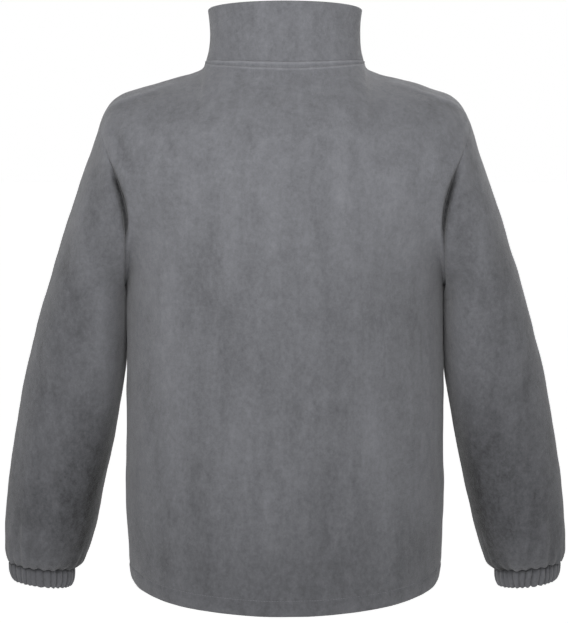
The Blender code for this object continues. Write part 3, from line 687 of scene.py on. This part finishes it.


# lines beside a seam, as bells: distance from it, width, then height or change of painted light and nap
seam = {"dip": (0.0, 0.0022, -0.0011), "puff": (0.0045, 0.0022, 0.0005)}
neckTrim = {
    "blend": 0.03, "stitch": (0.0074, 0.0013, -0.0007),
    "lift": [(0.0024, 0.0018, 0.0014), (0.0108, 0.0018, 0.0006)],
    # lighter lines on the two ridges: painted highlight, partly the nap pressed there
    "nap": [(0.0024, 0.0019, 0.36), (0.0108, 0.0015, 0.34)],
}
# the shoulder's line: its distance from the seam, where that grows and shrinks, a painted highlight along it
# and painted shade below
shoulderTrim = {
    "start": (0.06, 0.34), "at": 0.025, "bow": 0.4, "bowOver": (0.55, 0.82), "near": 0.55,
    "nearOver": (0.78, 1.02), "lower": 0.8, "lowerOver": (0.80, 0.98), "width": 0.0034, "height": 0.0014,
    "napWidth": 0.0036, "nap": 0.34, "shadeAt": 0.012, "shadeWidth": 0.0080, "shade": -0.14,
}
hemTrim = {
    "stitch": (0.0205, 0.0014, -0.0007), "edge": (0.0, 0.0014, -0.0009),
    "nap": [(0.0205, 0.0018, 0.06), (0.0070, 0.0040, 0.04)],
    "puff": 0.0006, "puffRise": (0.001, 0.006), "puffFall": (0.015, 0.019),
}
zipTrim = {"edge": (0.0, 0.0016, -0.0008), "stitch": (0.0062, 0.0012, -0.0006)}
armholeTrim = {
    "depth": 0.0058, "reach": 0.0062, "nap": -0.66, "napReach": 0.0054, "deepOver": (-0.160, -0.122),
    "depthEnds": (-0.330, -0.280), "napEnds": (-0.300, -0.210), "plainOver": (-0.142, -0.105),
}


# the lower armhole sinks into a deep crease, painted darker there as shade: a bell across the seam that grows
# down the armhole
def armholeCrease(cloth, distance):
    z = cloth.grid[..., 2]
    deep = 1 - fade(z, *armholeTrim["deepOver"])
    paintedShadeDeep = deep * fade(z, *armholeTrim["napEnds"])
    # painted shade in the crease
    cloth.nap += paintedShadeDeep * bell(distance, 0.0, armholeTrim["napReach"], armholeTrim["nap"])
    deep = deep * fade(z, *armholeTrim["depthEnds"])
    cloth.lift -= deep * bell(distance, 0.0, armholeTrim["reach"], armholeTrim["depth"])


# the armhole's own seam dip, a bell down and a lower one up, which smooths out towards the shoulder's tip
def armholeSeam(cloth, distance):
    shown = 1 - fade(cloth.grid[..., 2], *armholeTrim["plainOver"])
    cloth.lift += shown * bells(distance, seam.values())


# one panel: bells beside the neck seam, the shoulder seam and the hem, at their distances along the cloth,
# and its folds, with painted light and shade by height, in patches and on the folds
def shapePanel(cloth, facing, s):
    grid, s = cloth.grid, np.abs(s)
    down = runAlong(grid[::-1])[::-1]
    up = runAlong(grid)
    fromSide = runAlong(grid[:, ::-1].swapaxes(0, 1))[::-1].swapaxes(0, 1)
    neckEnd = torso["neckShare"]
    onNeck = 1 - fade(s, neckEnd - neckTrim["blend"], neckEnd + neckTrim["blend"])
    onShoulder = fade(s - neckEnd, *shoulderTrim["start"])
    fold = foldLift(grid, facing, folds)
    # painted shade darker towards the hem, painted light and shade in patches and on the folds
    cloth.nap += paintedShadeAt(grid[..., 2], paintedShadeByHeight) + patchPaintedLightAndNap(grid, facing) + foldPaintedLight(fold)
    cloth.lift += fold + bell(down, *seam["dip"]) * (1 - onNeck)
    cloth.lift += onNeck * bells(down, neckTrim["lift"] + [neckTrim["stitch"]])
    # lighter lines on the neck seam's ridges: painted highlight, partly the nap pressed there
    cloth.nap += onNeck * bells(down, neckTrim["nap"])
    lineAt = (shoulderTrim["at"] * (1 + shoulderTrim["bow"] * fade(s, *shoulderTrim["bowOver"]))
              * (1 - shoulderTrim["near"] * fade(s, *shoulderTrim["nearOver"])))
    height = shoulderTrim["height"] * (1 - shoulderTrim["lower"] * fade(s, *shoulderTrim["lowerOver"]))
    shadeAt = lineAt + shoulderTrim["shadeAt"]
    cloth.lift += onShoulder * bell(down, lineAt, shoulderTrim["width"], height)
    # a painted highlight along the shoulder's ridge and painted shade below it
    cloth.nap += onShoulder * (bell(down, lineAt, shoulderTrim["napWidth"], shoulderTrim["nap"])
                               + bell(down, shadeAt, shoulderTrim["shadeWidth"], shoulderTrim["shade"]))
    cloth.lift += bells(up, [hemTrim["stitch"], hemTrim["edge"]])
    cloth.lift += hemTrim["puff"] * within(up, hemTrim["puffRise"], hemTrim["puffFall"])
    cloth.nap += bells(up, hemTrim["nap"])
    return fromSide


fullColumns = np.concatenate([-sideColumns[:0:-1], sideColumns])
backSide = panelGrid(backHalf, sideColumns)
frontSide = panelGrid(frontHalf, frontColumns)
backGrid = np.concatenate([mirrored(backSide)[:, :-1], backSide], axis=1)[:, ::-1]
hemRows = 1 - fade(lowerShares, 0.92 * hemShare, hemShare)     # the turned hem is thicker
hemRows = np.append(hemRows, np.zeros(len(backGrid) - len(hemRows)))[:, None]
extraWall = torso["hemWall"] - torso["wall"]
back = Cloth("backShell", backGrid, torso["wall"] + extraWall * hemRows)
frontSingle = fade(frontColumns, 0.05, 0.08)[None, :]     # single cloth over the zip's tape
frontLeft = Cloth("frontShellLeft", frontSide, torso["wall"] + extraWall * hemRows * frontSingle)
frontRight = Cloth("frontShellRight", mirrored(frontSide),
                   torso["wall"] + extraWall * hemRows * frontSingle[:, ::-1])

shapePanel(back, 1, fullColumns[::-1])
backRight = np.abs(runAlong(backGrid.swapaxes(0, 1)).swapaxes(0, 1))
backLeft = backRight[:, -1:] - backRight
for sideRun in (backRight, backLeft):
    armholeSeam(back, sideRun)
    armholeCrease(back, sideRun)
for front, columns in ((frontLeft, frontColumns), (frontRight, frontColumns[::-1])):
    sideRun = shapePanel(front, -1, columns)
    fromZip = sideRun[:, :1] - sideRun
    if front is frontRight:
        sideRun, fromZip = fromZip, sideRun
    armholeSeam(front, sideRun)
    armholeCrease(front, sideRun)
    front.lift += bells(fromZip, zipTrim.values())
print("body panels shaped")

# sections down the arm: centre x y z, tilt in degrees, half width, half depth
sleeveSections = np.array([
    (0.2603, -0.0120, -0.3000, 15.0, 0.0528, 0.0780),
    (0.2676, -0.0140, -0.3500, 13.0, 0.0600, 0.0730),
    (0.2777, -0.0160, -0.4050, 11.0, 0.0647, 0.0690),
    (0.2918, -0.0190, -0.4800, 10.5, 0.0658, 0.0650),
    (0.3055, -0.0230, -0.5500, 10.0, 0.0641, 0.0610),
    (0.3176, -0.0270, -0.6200, 9.5, 0.0606, 0.0570),
    (0.3230, -0.0300, -0.6510, 9.0, 0.0561, 0.0530),
    (0.3262, -0.0315, -0.6660, 8.0, 0.0522, 0.0480),
    (0.3290, -0.0320, -0.6745, 7.0, 0.0460, 0.0400),
])
# how the cloth leaves the armhole at the shoulder, at front and back, and under the arm: x, z, length
capWays = {"top": (0.30, -0.95, 0.20), "side": (0.62, -0.78, 0.13), "under": (0.50, -0.85, 0.03)}
sleeveTrim = {
    # pleats above the cuff: how many, a slower wave's count and share, the height and how far up they reach,
    # and the painted highlight on their ridges
    "gathers": 22, "slowGathers": 9, "slowShare": 0.5, "gatherHeight": 0.0012, "gatherReach": 0.030,
    "reachWaves": 7, "reachShare": 0.35, "gatherNap": 0.04,
    # the flattened inside and the painted light and shade there: turn round the arm, its reach, share; then
    # depths below the neck
    "flatten": 0.0050, "inside": [(2.30, 0.42, 1.0), (3.98, 0.42, 0.7)], "flatRise": (0.25, 0.33),
    "flatFall": (0.55, 0.66), "upperNap": (2.25, 0.40, 0.12), "upperRise": (0.26, 0.32),
    "upperFall": (0.38, 0.46), "lowerNap": (2.70, 0.55, -0.46), "lowerRise": (0.42, 0.56),
}


# an oval square to the arm, by cosine across and sine deep: turn 0 is its outside, a quarter turn its back
def sleeveRing(section, turn):
    x, y, z, tiltDeg, across, deep = np.moveaxis(np.asarray(section), -1, 0)
    tilt = np.radians(tiltDeg)
    return stack(x + across * np.cos(turn) * np.cos(tilt), y + deep * np.sin(turn),
                 z + across * np.cos(turn) * np.sin(tilt))


# rows from the armhole to the cuff: cubics out of the armhole, then ovals read from the sections
def sleeveGrid(armhole, turn):
    top, under = np.clip(np.cos(turn), 0, 1) ** 2, np.clip(-np.cos(turn), 0, 1) ** 2
    x, z, length = [top * capWays["top"][i] + (1 - top - under) * capWays["side"][i]
                    + under * capWays["under"][i] for i in range(3)]
    leave = unit(stack(x, 0, z)) * length[:, None]
    tilt = math.radians(sleeveSections[0, 3])
    arrive = stack(math.sin(tilt), 0, -math.cos(tilt)) * length[:, None]
    end = sleeveRing(sleeveSections[0], turn)
    capShares = spaced((0, 0.06, 1), (9, 42))[:-1, None, None]
    cap = hermite(armhole, leave, end, arrive, capShares)
    knots = np.concatenate([[0], np.cumsum(np.linalg.norm(np.diff(sleeveSections[:, :3], axis=0), axis=1)
                                           + np.abs(np.diff(sleeveSections[:, 4])))])
    at = spaced((0, knots[6], knots[-1]), (72, 22))
    tube = sleeveRing(smoothTable(at, knots, sleeveSections)[:, None], turn[None, :])
    return np.concatenate([cap, tube])


# the armhole from underarm up the back, over the tip and down the front, and its points' turns round the arm
underarmRow = len(lowerShares) - 1
backArm = backSide[underarmRow:, -1]
frontArm = frontSide[underarmRow:, -1]
climbTurn = np.concatenate([[math.pi], math.pi * (1 - armholeShares / 2), math.pi / 2 * (1 - yokeShares)])
armholeLoop = np.concatenate([backArm[::-1], frontArm[1:-1]])
armholeTurn = np.concatenate([climbTurn[::-1], 2 * math.pi - climbTurn[1:-1]])
leftSleeve = sleeveGrid(armholeLoop, armholeTurn)[::-1]


# one sleeve: seam dips, folds, bells round the arm for its flattened inside, and pleats that fade upwards;
# painted shade down the arm and on the lower inside, painted light on the upper inside and on fold and pleat
# ridges
def shapeSleeve(cloth, turn, swing):
    grid, trim = cloth.grid, sleeveTrim
    distance = runAlong(grid[::-1])[::-1]
    up, z = runAlong(grid), grid[..., 2]
    below = -z
    facing = np.tanh((grid[..., 1] + 0.02) / 0.02)     # 1 behind the arm's middle, -1 before it
    leftward = grid * np.array([np.sign(grid[..., 0].mean()), 1.0, 1.0])
    fold = foldLift(leftward, facing, sleeveFolds, swing)
    armholeSeam(cloth, distance)
    armholeCrease(cloth, distance)
    cloth.lift += fold + trim["flatten"] * bells(turn, trim["inside"]) * within(
        below, trim["flatRise"], trim["flatFall"])
    pleat = np.cos(trim["gathers"] * turn) + trim["slowShare"] * np.cos(trim["slowGathers"] * turn + 1.3)
    reach = trim["gatherReach"] * (1 + trim["reachShare"] * np.sin(trim["reachWaves"] * turn + 0.8))
    gather = pleat * np.exp(-(up / reach) ** 1.5)
    cloth.lift += trim["gatherHeight"] * gather
    # painted light and shade: on folds and pleats, darker down the arm, lighter on the upper inside, darker
    # on the lower inside
    cloth.nap += foldPaintedLight(fold) + paintedShadeAt(z, sleevePaintedShadeByHeight) + trim["gatherNap"] * gather
    cloth.nap += bell(turn, *trim["upperNap"]) * within(below, trim["upperRise"], trim["upperFall"])
    cloth.nap += bell(turn, *trim["lowerNap"]) * fade(below, *trim["lowerRise"])


sleeveLeft = Cloth("sleeveShellLeft", leftSleeve, torso["wall"], closed=True)
sleeveRight = Cloth("sleeveShellRight", mirrored(leftSleeve), torso["wall"], closed=True)
shapeSleeve(sleeveLeft, armholeTurn, 1.0)
shapeSleeve(sleeveRight, armholeTurn[::-1], 0.8)
print("sleeves shaped")

cuff = {
    "height": 0.0245, "drop": 0.0013, "wall": 0.0022, "rows": 34, "columns": 440,
    "gathers": 31, "ridge": 0.0018, "valley": 0.0027, "round": 0.7, "scallop": -0.0008,
    "wander": (0.90, 0.55, 0.70), "uneven": (0.68, 0.22, 0.10),
    # painted highlight on the gathers' ridges, painted shade in their valleys and under the sleeve's end
    "lift": (0.0, 0.0016, -0.0008), "nap": 0.10, "valleyNap": -0.42, "tuckNap": (0.0030, 0.0048, -0.44),
}
# share of the height, half width, half depth; the first row is a lip tucked up into the sleeve
cuffProfile = np.array([(-0.14, 0.0414, 0.0354), (0.00, 0.0434, 0.0374), (0.30, 0.0440, 0.0380),
                        (0.70, 0.0425, 0.0365), (1.00, 0.0388, 0.0335)])


# the gathers' height, -1 in a valley and 1 on a ridge: a power of the cosine's size gives round ridges and
# narrow valleys, slower sines make them wander and differ
def cuffGathers(turn, along, shift):
    slow, quick, downward = cuff["wander"]
    wander = slow * np.sin(5 * turn + shift) + quick * np.sin(9 * turn + 2 * shift)
    wander = wander + downward * np.sin(along * 3.6 + shift)[:, None] * np.sin(4 * turn + shift)
    wave = np.abs(np.cos((cuff["gathers"] * turn + wander) / 2)) ** cuff["round"]
    even, slow, quick = cuff["uneven"]
    return (2 * wave - 1) * (even + slow * np.sin(3 * turn + 2 * shift) + quick * np.sin(13 * turn))


# an oval band whose radius follows the gathers
def cuffGrid(turn, shift):
    along = np.linspace(cuffProfile[0, 0], 1, cuff["rows"])
    last = sleeveSections[-1]
    size = smoothTable(along, cuffProfile[:, 0], cuffProfile[:, 1:])
    section = np.zeros((len(along), 1, 6))
    section[:, 0, :4] = last[:4]
    section[:, 0, 2] -= cuff["drop"] + along * cuff["height"]
    section[:, 0, 4:] = size
    ring = sleeveRing(section, turn[None, :])
    wave = cuffGathers(turn, along, shift)
    ring[..., 2] += cuff["scallop"] * wave * fade(along, 0.7, 1.0)[:, None]
    grown = (0.2 + 0.8 * fade(along, -0.03, 0.08))[:, None]     # low on the lip, full below it
    fold = np.where(wave > 0, cuff["ridge"], cuff["valley"]) * wave * grown
    return ring + unit(ring - section[..., :3]) * fold[..., None], wave


cuffTurn = np.arange(cuff["columns"]) * math.tau / cuff["columns"]
leftBand, leftWave = cuffGrid(cuffTurn, 0.4)
rightBand, rightWave = cuffGrid(cuffTurn, 1.7)
cuffLeft = Cloth("cuffShellLeft", leftBand[::-1], cuff["wall"], closed=True)
cuffRight = Cloth("cuffShellRight", mirrored(rightBand)[::-1], cuff["wall"], closed=True)
for band, wave in ((cuffLeft, leftWave[::-1]), (cuffRight, rightWave[::-1, ::-1])):
    up, down = runAlong(band.grid), runAlong(band.grid[::-1])[::-1]
    band.lift = bell(up, *cuff["lift"]) + bell(down, *cuff["lift"])
    # painted highlight on the gathers' ridges, painted shade in their valleys and under the sleeve's end
    band.nap += cuff["nap"] * wave + cuff["valleyNap"] * np.clip(-wave, 0, 1) ** 2
    band.nap += bell(down, *cuff["tuckNap"])
print("cuffs shaped")

collarSizes = {
    "topBackZ": 0.0745, "topSideZ": 0.0668, "topFrontZ": 0.0300, "frontLean": 0.010, "wall": 0.0044,
    "thickOver": (0.017, 0.030), "seamDip": (0.0, 0.0016, -0.0003), "seamNap": (0.0, 0.0016, 0.10),
    "edgeNap": (0.0, 0.0030, 0.05), "edgeRound": 0.0016, "edgeRun": 0.0022,
}
# share of the height, share of the width, share of the depth
collarProfile = np.array([(0.00, 1.000, 1.000), (0.20, 0.962, 0.985), (0.50, 0.940, 0.975),
                          (0.78, 0.946, 0.990), (1.00, 0.966, 1.010)])


# the neck seam carried up: each row is the seam made narrower, leaned and raised to the top edge
def collarGrid(neck):
    front = np.clip(-(neck[:, 1] - torso["tipY"]) / frontHalf["neckDepth"], 0, 1)
    rear = np.clip((neck[:, 1] - torso["tipY"]) / backHalf["neckDepth"], 0, 1)
    topZ = (collarSizes["topSideZ"] + (collarSizes["topBackZ"] - collarSizes["topSideZ"]) * rear
            + (collarSizes["topFrontZ"] - collarSizes["topSideZ"]) * front ** 2)
    along = spaced((0, 0.12, 0.9, 1), (9, 22, 9))
    size = smoothTable(along, collarProfile[:, 0], collarProfile[:, 1:])
    edge = torso["edgeX"]
    reach = np.abs(neck[:, 0])[None, :]
    x = np.sign(neck[:, 0])[None, :] * (edge + (reach - edge) * size[:, :1])
    x = np.where(reach < edge, neck[:, 0][None, :] * size[:, :1], x)
    y = (torso["tipY"] + (neck[:, 1] - torso["tipY"])[None, :] * size[:, 1:]
         - collarSizes["frontLean"] * along[:, None] * front[None, :])
    z = neck[:, 2][None, :] + (topZ - neck[:, 2])[None, :] * along[:, None]
    return stack(x, y, z)


# the neck seam from the zip round the back to the zip
neckColumns = np.append(sideColumns[sideColumns < torso["neckShare"]], torso["neckShare"])
frontNeckColumns = np.append(frontColumns[frontColumns < torso["neckShare"]], torso["neckShare"])
neckBack = topRow(backHalf, neckColumns)
neckFront = topRow(frontHalf, frontNeckColumns)
neckLine = np.concatenate([neckFront, neckBack[-2::-1], neckBack[1:] * mirrorX, neckFront[-2::-1] * mirrorX])
collarPoints = collarGrid(neckLine)
fromEnd = runAlong(neckLine)
fromEnd = np.minimum(fromEnd, fromEnd[-1] - fromEnd)
thicker = fade(fromEnd, *collarSizes["thickOver"])[None, :]     # double cloth, but single over the zip's tape
collarWall = torso["wall"] + (collarSizes["wall"] - torso["wall"]) * thicker
collar = Cloth("collarShell", collarPoints, collarWall)
up, down = runAlong(collarPoints), runAlong(collarPoints[::-1])[::-1]
collar.lift += bell(up, *collarSizes["seamDip"]) + bells(fromEnd[None, :], zipTrim.values())
# painted shade by height as on the body, and lighter lines along the seam and the top edge
collar.nap += paintedShadeAt(collarPoints[..., 2], paintedShadeByHeight)
collar.nap += bell(up, *collarSizes["seamNap"]) + bell(down, *collarSizes["edgeNap"])
# the top edge is rounded as a quarter circle
toEdge = np.clip(1 - down / collarSizes["edgeRun"], 0, 1)
collar.lift -= collarSizes["edgeRound"] * (1 - np.sqrt(1 - toEdge ** 2))
print("collar shaped")

clothNodes = {
    back: "back", frontLeft: "front_left", frontRight: "front_right", sleeveLeft: "sleeve_left",
    sleeveRight: "sleeve_right", collar: "collar", cuffLeft: "cuff_left", cuffRight: "cuff_right",
}
joinSeams(list(clothNodes))


# a finished piece rides on its body and hides the nodes it stands for
def settle(thing, body, slotName, *nodes):
    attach(thing, body)
    if nodes:
        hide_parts(*nodes)
    return thing


for cloth, node in clothNodes.items():
    isCuff = node.startswith("cuff")
    shell = cloth.build(cuffPaint if isCuff else bodyPaint)
    settle(shell, "jacket", "cuff_fleece" if isCuff else "fleece", node)
print("cloth shells built")

# each sheet's size as cut, an estimate: width and length, area where it isn't their product, how it is
# held and what it rests on
cuts = {
    "back": ((0.650, 0.735), 0.390, "hung", ["wearer", "collar"]),
    "front_left": ((0.330, 0.700), 0.186, "hung", ["wearer", "collar"]),
    "front_right": ((0.330, 0.700), 0.186, "hung", ["wearer", "collar"]),
    "sleeve_left": ((0.470, 0.600), 0.210, "hung", ["back", "front_left"]),
    "sleeve_right": ((0.470, 0.600), 0.210, "hung", ["back", "front_right"]),
    "collar": ((0.560, 0.078), None, "hung", ["back", "front_left", "front_right"]),
    "cuff_left": ((0.330, 0.025), None, "gathered", ["sleeve_left"]),
    "cuff_right": ((0.330, 0.025), None, "gathered", ["sleeve_right"]),
}
for node, (flat, area, held, restsOn) in cuts.items():
    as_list(restsOn)


# the point of each column where a growing run reaches one value, on a straight line between its neighbours
def whereRun(values, run, at):
    index = np.clip((run < at).sum(axis=0) - 1, 0, len(run) - 2)
    cols = np.arange(run.shape[1])
    low, high = run[index, cols], run[index + 1, cols]
    share = ((at - low) / (high - low))[:, None]
    return values[index, cols] * (1 - share) + values[index + 1, cols] * share


# one form set at many places: place + way x first + side x second + outward x third of its coordinates
def repeatForm(name, places, ways, outs, formPoints, formFaces, paint):
    sides = unit(np.cross(outs, ways))
    outs = unit(np.cross(ways, sides))
    along, across, outward = np.split(formPoints[None], 3, axis=-1)
    points = places[:, None] + ways[:, None] * along + sides[:, None] * across + outs[:, None] * outward
    faces = formFaces[None] + (np.arange(len(places)) * len(formPoints))[:, None, None]
    return meshFrom(name, points.reshape(-1, 3), faces.reshape(-1, 4), paint)


# a short rod with rounded ends: six-sided rings at four places along it
def rodForm(half, across, outward, rise=0.0):
    along = np.array([-1.0, -0.72, 0.72, 1.0])[:, None]
    size = np.array([0.35, 1.0, 1.0, 0.35])[:, None]
    turn = (np.arange(6) * math.tau / 6)[None, :]
    points = stack(along * half, size * across * np.cos(turn), size * outward * np.sin(turn) + rise * size)
    ring = np.arange(24).reshape(4, 6)
    after = np.roll(ring, -1, 1)
    sides = np.stack([ring[:-1], after[:-1], after[1:], ring[1:]], -1).reshape(-1, 4)
    ends = np.array([[18, 19, 20, 21], [18, 21, 22, 23], [3, 2, 1, 0], [5, 4, 3, 0]])
    return points.reshape(-1, 3), np.concatenate([sides, ends])


stitch = {"pitch": 0.0034, "half": 0.0014, "across": 0.00032, "outward": 0.00026, "rise": 0.0002,
          "ahead": 0.0005, "neckMargin": 0.004}


# points or directions at given runs along a line, each coordinate read between its neighbours
def readAlong(at, run, line):
    return np.stack([np.interp(at, run, line[:, axis]) for axis in range(3)], -1)


# stitches along a line of points, one at the middle of each pitch of its length
def stitchLine(name, line, outs):
    run = runAlong(line)
    at = (np.arange(int(run[-1] / stitch["pitch"])) + 0.5) * stitch["pitch"]
    spots, out = readAlong(at, run, line), unit(readAlong(at, run, outs))
    ahead = readAlong(at + stitch["ahead"], run, line)
    form, faces = rodForm(stitch["half"], stitch["across"], stitch["outward"], stitch["rise"])
    made = repeatForm(name, spots, unit(ahead - spots), out, form, faces, threadPaint)
    return settle(made, "jacket", "fleece")


# a line of stitches across a panel, a fixed run along the cloth from its bottom or its top edge
def stitchAcross(cloth, name, at, fromTop=False, keep=slice(None)):
    order = slice(None, None, -1) if fromTop else slice(None)
    grid, face, out = cloth.grid[order], cloth.face[order], cloth.out[order]
    run = runAlong(grid)
    return stitchLine(cloth.name + name, whereRun(face, run, at)[keep], whereRun(out, run, at)[keep])


panelColumns = {back: fullColumns[::-1], frontLeft: frontColumns, frontRight: frontColumns[::-1]}
for cloth in panelColumns:
    stitchAcross(cloth, "HemStitches", hemTrim["stitch"][0])
for cloth, columns in panelColumns.items():
    onNeck = np.abs(columns) < torso["neckShare"] - stitch["neckMargin"]
    stitchAcross(cloth, "NeckStitches", neckTrim["stitch"][0], fromTop=True, keep=onNeck)


# a line of stitches up a front's zip edge, a fixed run along the cloth from it, clear of both ends
def stitchBesideZip(cloth, at):
    order = slice(None, None, -1) if cloth is frontRight else slice(None)
    grid, face, out = [part[:, order].swapaxes(0, 1) for part in (cloth.grid, cloth.face, cloth.out)]
    run = runAlong(grid)
    line, outs = whereRun(face, run, at), whereRun(out, run, at)
    return stitchLine(cloth.name + "ZipStitches", line[2:-2], outs[2:-2])


for cloth in (frontLeft, frontRight):
    stitchBesideZip(cloth, zipTrim["stitch"][0])
print("stitches sewn")

zipSizes = {"tapeReach": 0.0130, "tapeWall": 0.0008, "tapeDepth": 0.0033, "middleGap": 0.0003,
            "toothPitch": 0.0012, "toothHalf": 0.00172, "toothAcross": 0.00027, "toothOutward": 0.00050,
            "toothDepth": 0.0026, "toothStep": 0.00112, "boxHeight": 0.0090, "boxOverlap": 0.001,
            "sliderLength": 0.0145, "seam": 0.0003, "tapeFlat": (0.0127, 0.737), "underFront": 8}
zipPath = np.concatenate([frontSide[:, 0], collarPoints[1:, 0]])
zipRun = runAlong(zipPath)
zipUp = unit(np.gradient(zipPath, axis=0) * np.array([0.0, 1.0, 1.0]))
zipOut = stack(0.0, -zipUp[:, 2], zipUp[:, 1])


# the tape behind one front: the front's own face moved in, carried past its edge to the zip's middle
def tapeShell(name, side):
    columns = 14     # enough of the front's own columns to reach past the tape
    base = np.concatenate([frontSide[:, :columns], collarPoints[1:, :columns]]).swapaxes(0, 1)
    kept = (zipRun > zipSizes["boxHeight"] + zipSizes["seam"]) & (zipRun < zipRun[-1] - zipSizes["seam"])
    xs = np.concatenate([np.linspace(zipSizes["middleGap"], torso["edgeX"], 5)[:-1],
                         np.linspace(torso["edgeX"] + 1e-6, zipSizes["tapeReach"], zipSizes["underFront"])])
    lines = []
    for x in xs:
        line = zipPath.copy() if x < torso["edgeX"] else whereRun(base, base[..., 0], x)
        line[:, 0] = x
        lines.append(line)
    grid = np.stack(lines, axis=1)[kept]
    out = np.broadcast_to(zipOut[kept][:, None], grid.shape)
    if side < 0:
        grid, out = mirrored(grid), out[:, ::-1]
    outer = grid - out * zipSizes["tapeDepth"]
    inner = outer - out * zipSizes["tapeWall"]
    return shellMesh(name, outer, inner, False, tapePaint)


# coil turns: rods that lie across the zip, alternately reaching out to each side
def coilTurns(name, side):
    start, end = zipSizes["boxHeight"] - zipSizes["boxOverlap"], zipRun[-1] - zipSizes["sliderLength"]
    at = np.arange(start, end, zipSizes["toothPitch"]) + (side > 0) * zipSizes["toothPitch"] / 2
    spots, outs = readAlong(at, zipRun, zipPath), unit(readAlong(at, zipRun, zipOut))
    spots[:, 0] = side * zipSizes["toothStep"]
    spots -= outs * zipSizes["toothDepth"]
    ways = np.broadcast_to(np.array([1.0, 0.0, 0.0]), spots.shape)
    form, faces = rodForm(zipSizes["toothHalf"], zipSizes["toothAcross"], zipSizes["toothOutward"])
    return settle(repeatForm(name, spots, ways, outs, form, faces, coilPaint), "jacket", "zip_tape")


for name, side, node in (("zipTapeLeft", 1, "zip_tape_left"), ("zipTapeRight", -1, "zip_tape_right")):
    tape = settle(tapeShell(name, side), "jacket", "zip_tape", node)
    front = "front_left" if side > 0 else "front_right"
    coilTurns(name + "Coil", side)


# the hard pieces: node, name, width of the rounded edges, body
hardPieces = [("zip_slider", "slider", 0.00012, "jacket"), ("zip_box", "zipBox", 0.0003, "jacket"),
              ("zip_pull_tab", "pullTab", 0.00015, "zip_pull")]
flatDeg, sharpDeg = 1, 25     # faces flatter than one are merged, edges sharper than the other rounded


# a hard piece as in its frame node: triangles merged into flat faces, then each sharp edge bevelled
def roundedCopy(node, name, width, body):
    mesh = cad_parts[node].data.copy()
    form = bmesh.new()
    form.from_mesh(mesh)
    bmesh.ops.remove_doubles(form, verts=form.verts, dist=1e-6)
    bmesh.ops.dissolve_limit(form, angle_limit=math.radians(flatDeg), verts=form.verts, edges=form.edges)
    least = math.radians(sharpDeg)
    sharp = [edge for edge in form.edges if edge.is_manifold and edge.calc_face_angle() > least]
    bmesh.ops.bevel(form, geom=sharp, offset=width, segments=2, profile=0.5, affect="EDGES",
                    clamp_overlap=True)
    form.to_mesh(mesh)
    form.free()
    mesh.materials.clear()
    mesh.materials.append(sliderPaint)
    thing = bpy.data.objects.new(name, mesh)
    bpy.context.scene.collection.objects.link(thing)
    return settle(thing, body, "zip_metal", node)


for row in hardPieces:
    roundedCopy(*row)
print("zip built")

camera = {"distance": 2.6, "height": -0.10, "pitchDeg": 5.04, "lens": 124.859, "sensor": 36.0,
          "sideways": 0.0013}
cameraData = bpy.data.cameras.new("camera")
cameraData.sensor_fit = "HORIZONTAL"
cameraData.sensor_width = camera["sensor"]
cameraData.lens = camera["lens"]
cameraObject = bpy.data.objects.new("camera", cameraData)
bpy.context.scene.collection.objects.link(cameraObject)
cameraObject.location = (camera["sideways"], camera["distance"], camera["height"])
cameraObject.rotation_euler = (math.radians(90 - camera["pitchDeg"]), 0, math.radians(180))
bpy.context.scene.camera = cameraObject

lamps = [
    # name, place, aim, size, power
    ("backLamp", (0.14, 1.28, 0.52), (0.0, 0.10, -0.22), 1.2, 25),
    ("frontLamp", (-0.45, -1.40, 0.60), (0.0, -0.10, -0.25), 1.3, 27),
]
for name, place, aim, size, power in lamps:
    data = bpy.data.lights.new(name, "AREA")
    data.size = size
    data.energy = power
    lamp = bpy.data.objects.new(name, data)
    bpy.context.scene.collection.objects.link(lamp)
    lamp.location = place
    lamp.rotation_euler = (Vector(aim) - Vector(place)).to_track_quat("-Z", "Y").to_euler()
    lamp.visible_camera = False

studio = {"dome": 0.12, "horizon": 1.00, "bandLow": 0.16, "bandHigh": 0.42, "floorGlow": 0.83,
          "floorBelow": 0.80, "floorReach": 60.0}


# the dome's light falls smoothly with height, from bright at the horizon to dim above, so the lamps lead
def lightWorld():
    world = bpy.data.worlds.new("studioWorld")
    world.use_nodes = True
    tree = world.node_tree
    sky = tree.nodes["Background"]
    way = tree.nodes.new("ShaderNodeTexCoord")
    parts = tree.nodes.new("ShaderNodeSeparateXYZ")
    band = tree.nodes.new("ShaderNodeMapRange")
    tree.links.new(way.outputs["Generated"], parts.inputs[0])
    tree.links.new(parts.outputs["Z"], band.inputs["Value"])
    band.interpolation_type = "SMOOTHSTEP"
    for key, value in (("From Min", studio["bandLow"]), ("From Max", studio["bandHigh"]),
                       ("To Min", studio["horizon"]), ("To Max", studio["dome"])):
        band.inputs[key].default_value = value
    tree.links.new(band.outputs["Result"], sky.inputs["Strength"])
    sky.inputs["Color"].default_value = (1.0, 1.0, 1.0, 1)
    bpy.context.scene.world = world


lightWorld()
bpy.context.scene.view_settings.view_transform = "Standard"

floorPaint = Paint("floorPaint").set(
    Base_Color=(0.86, 0.86, 0.86, 1), Roughness=0.9, Specular_IOR_Level=0.1,
    Emission_Color=(1, 1, 1, 1), Emission_Strength=studio["floorGlow"])
reach, floorZ = studio["floorReach"], cadLow.z - studio["floorBelow"]
floorPoints = np.array([(-reach, -reach, floorZ), (reach, -reach, floorZ), (reach, reach, floorZ),
                        (-reach, reach, floorZ)])
floor = meshFrom("floor", floorPoints, np.array([[0, 1, 2, 3]]), floorPaint, smooth=False)
floor.visible_diffuse = False     # the pale floor doesn't light the cloth from below
print("camera, lamps and floor placed")
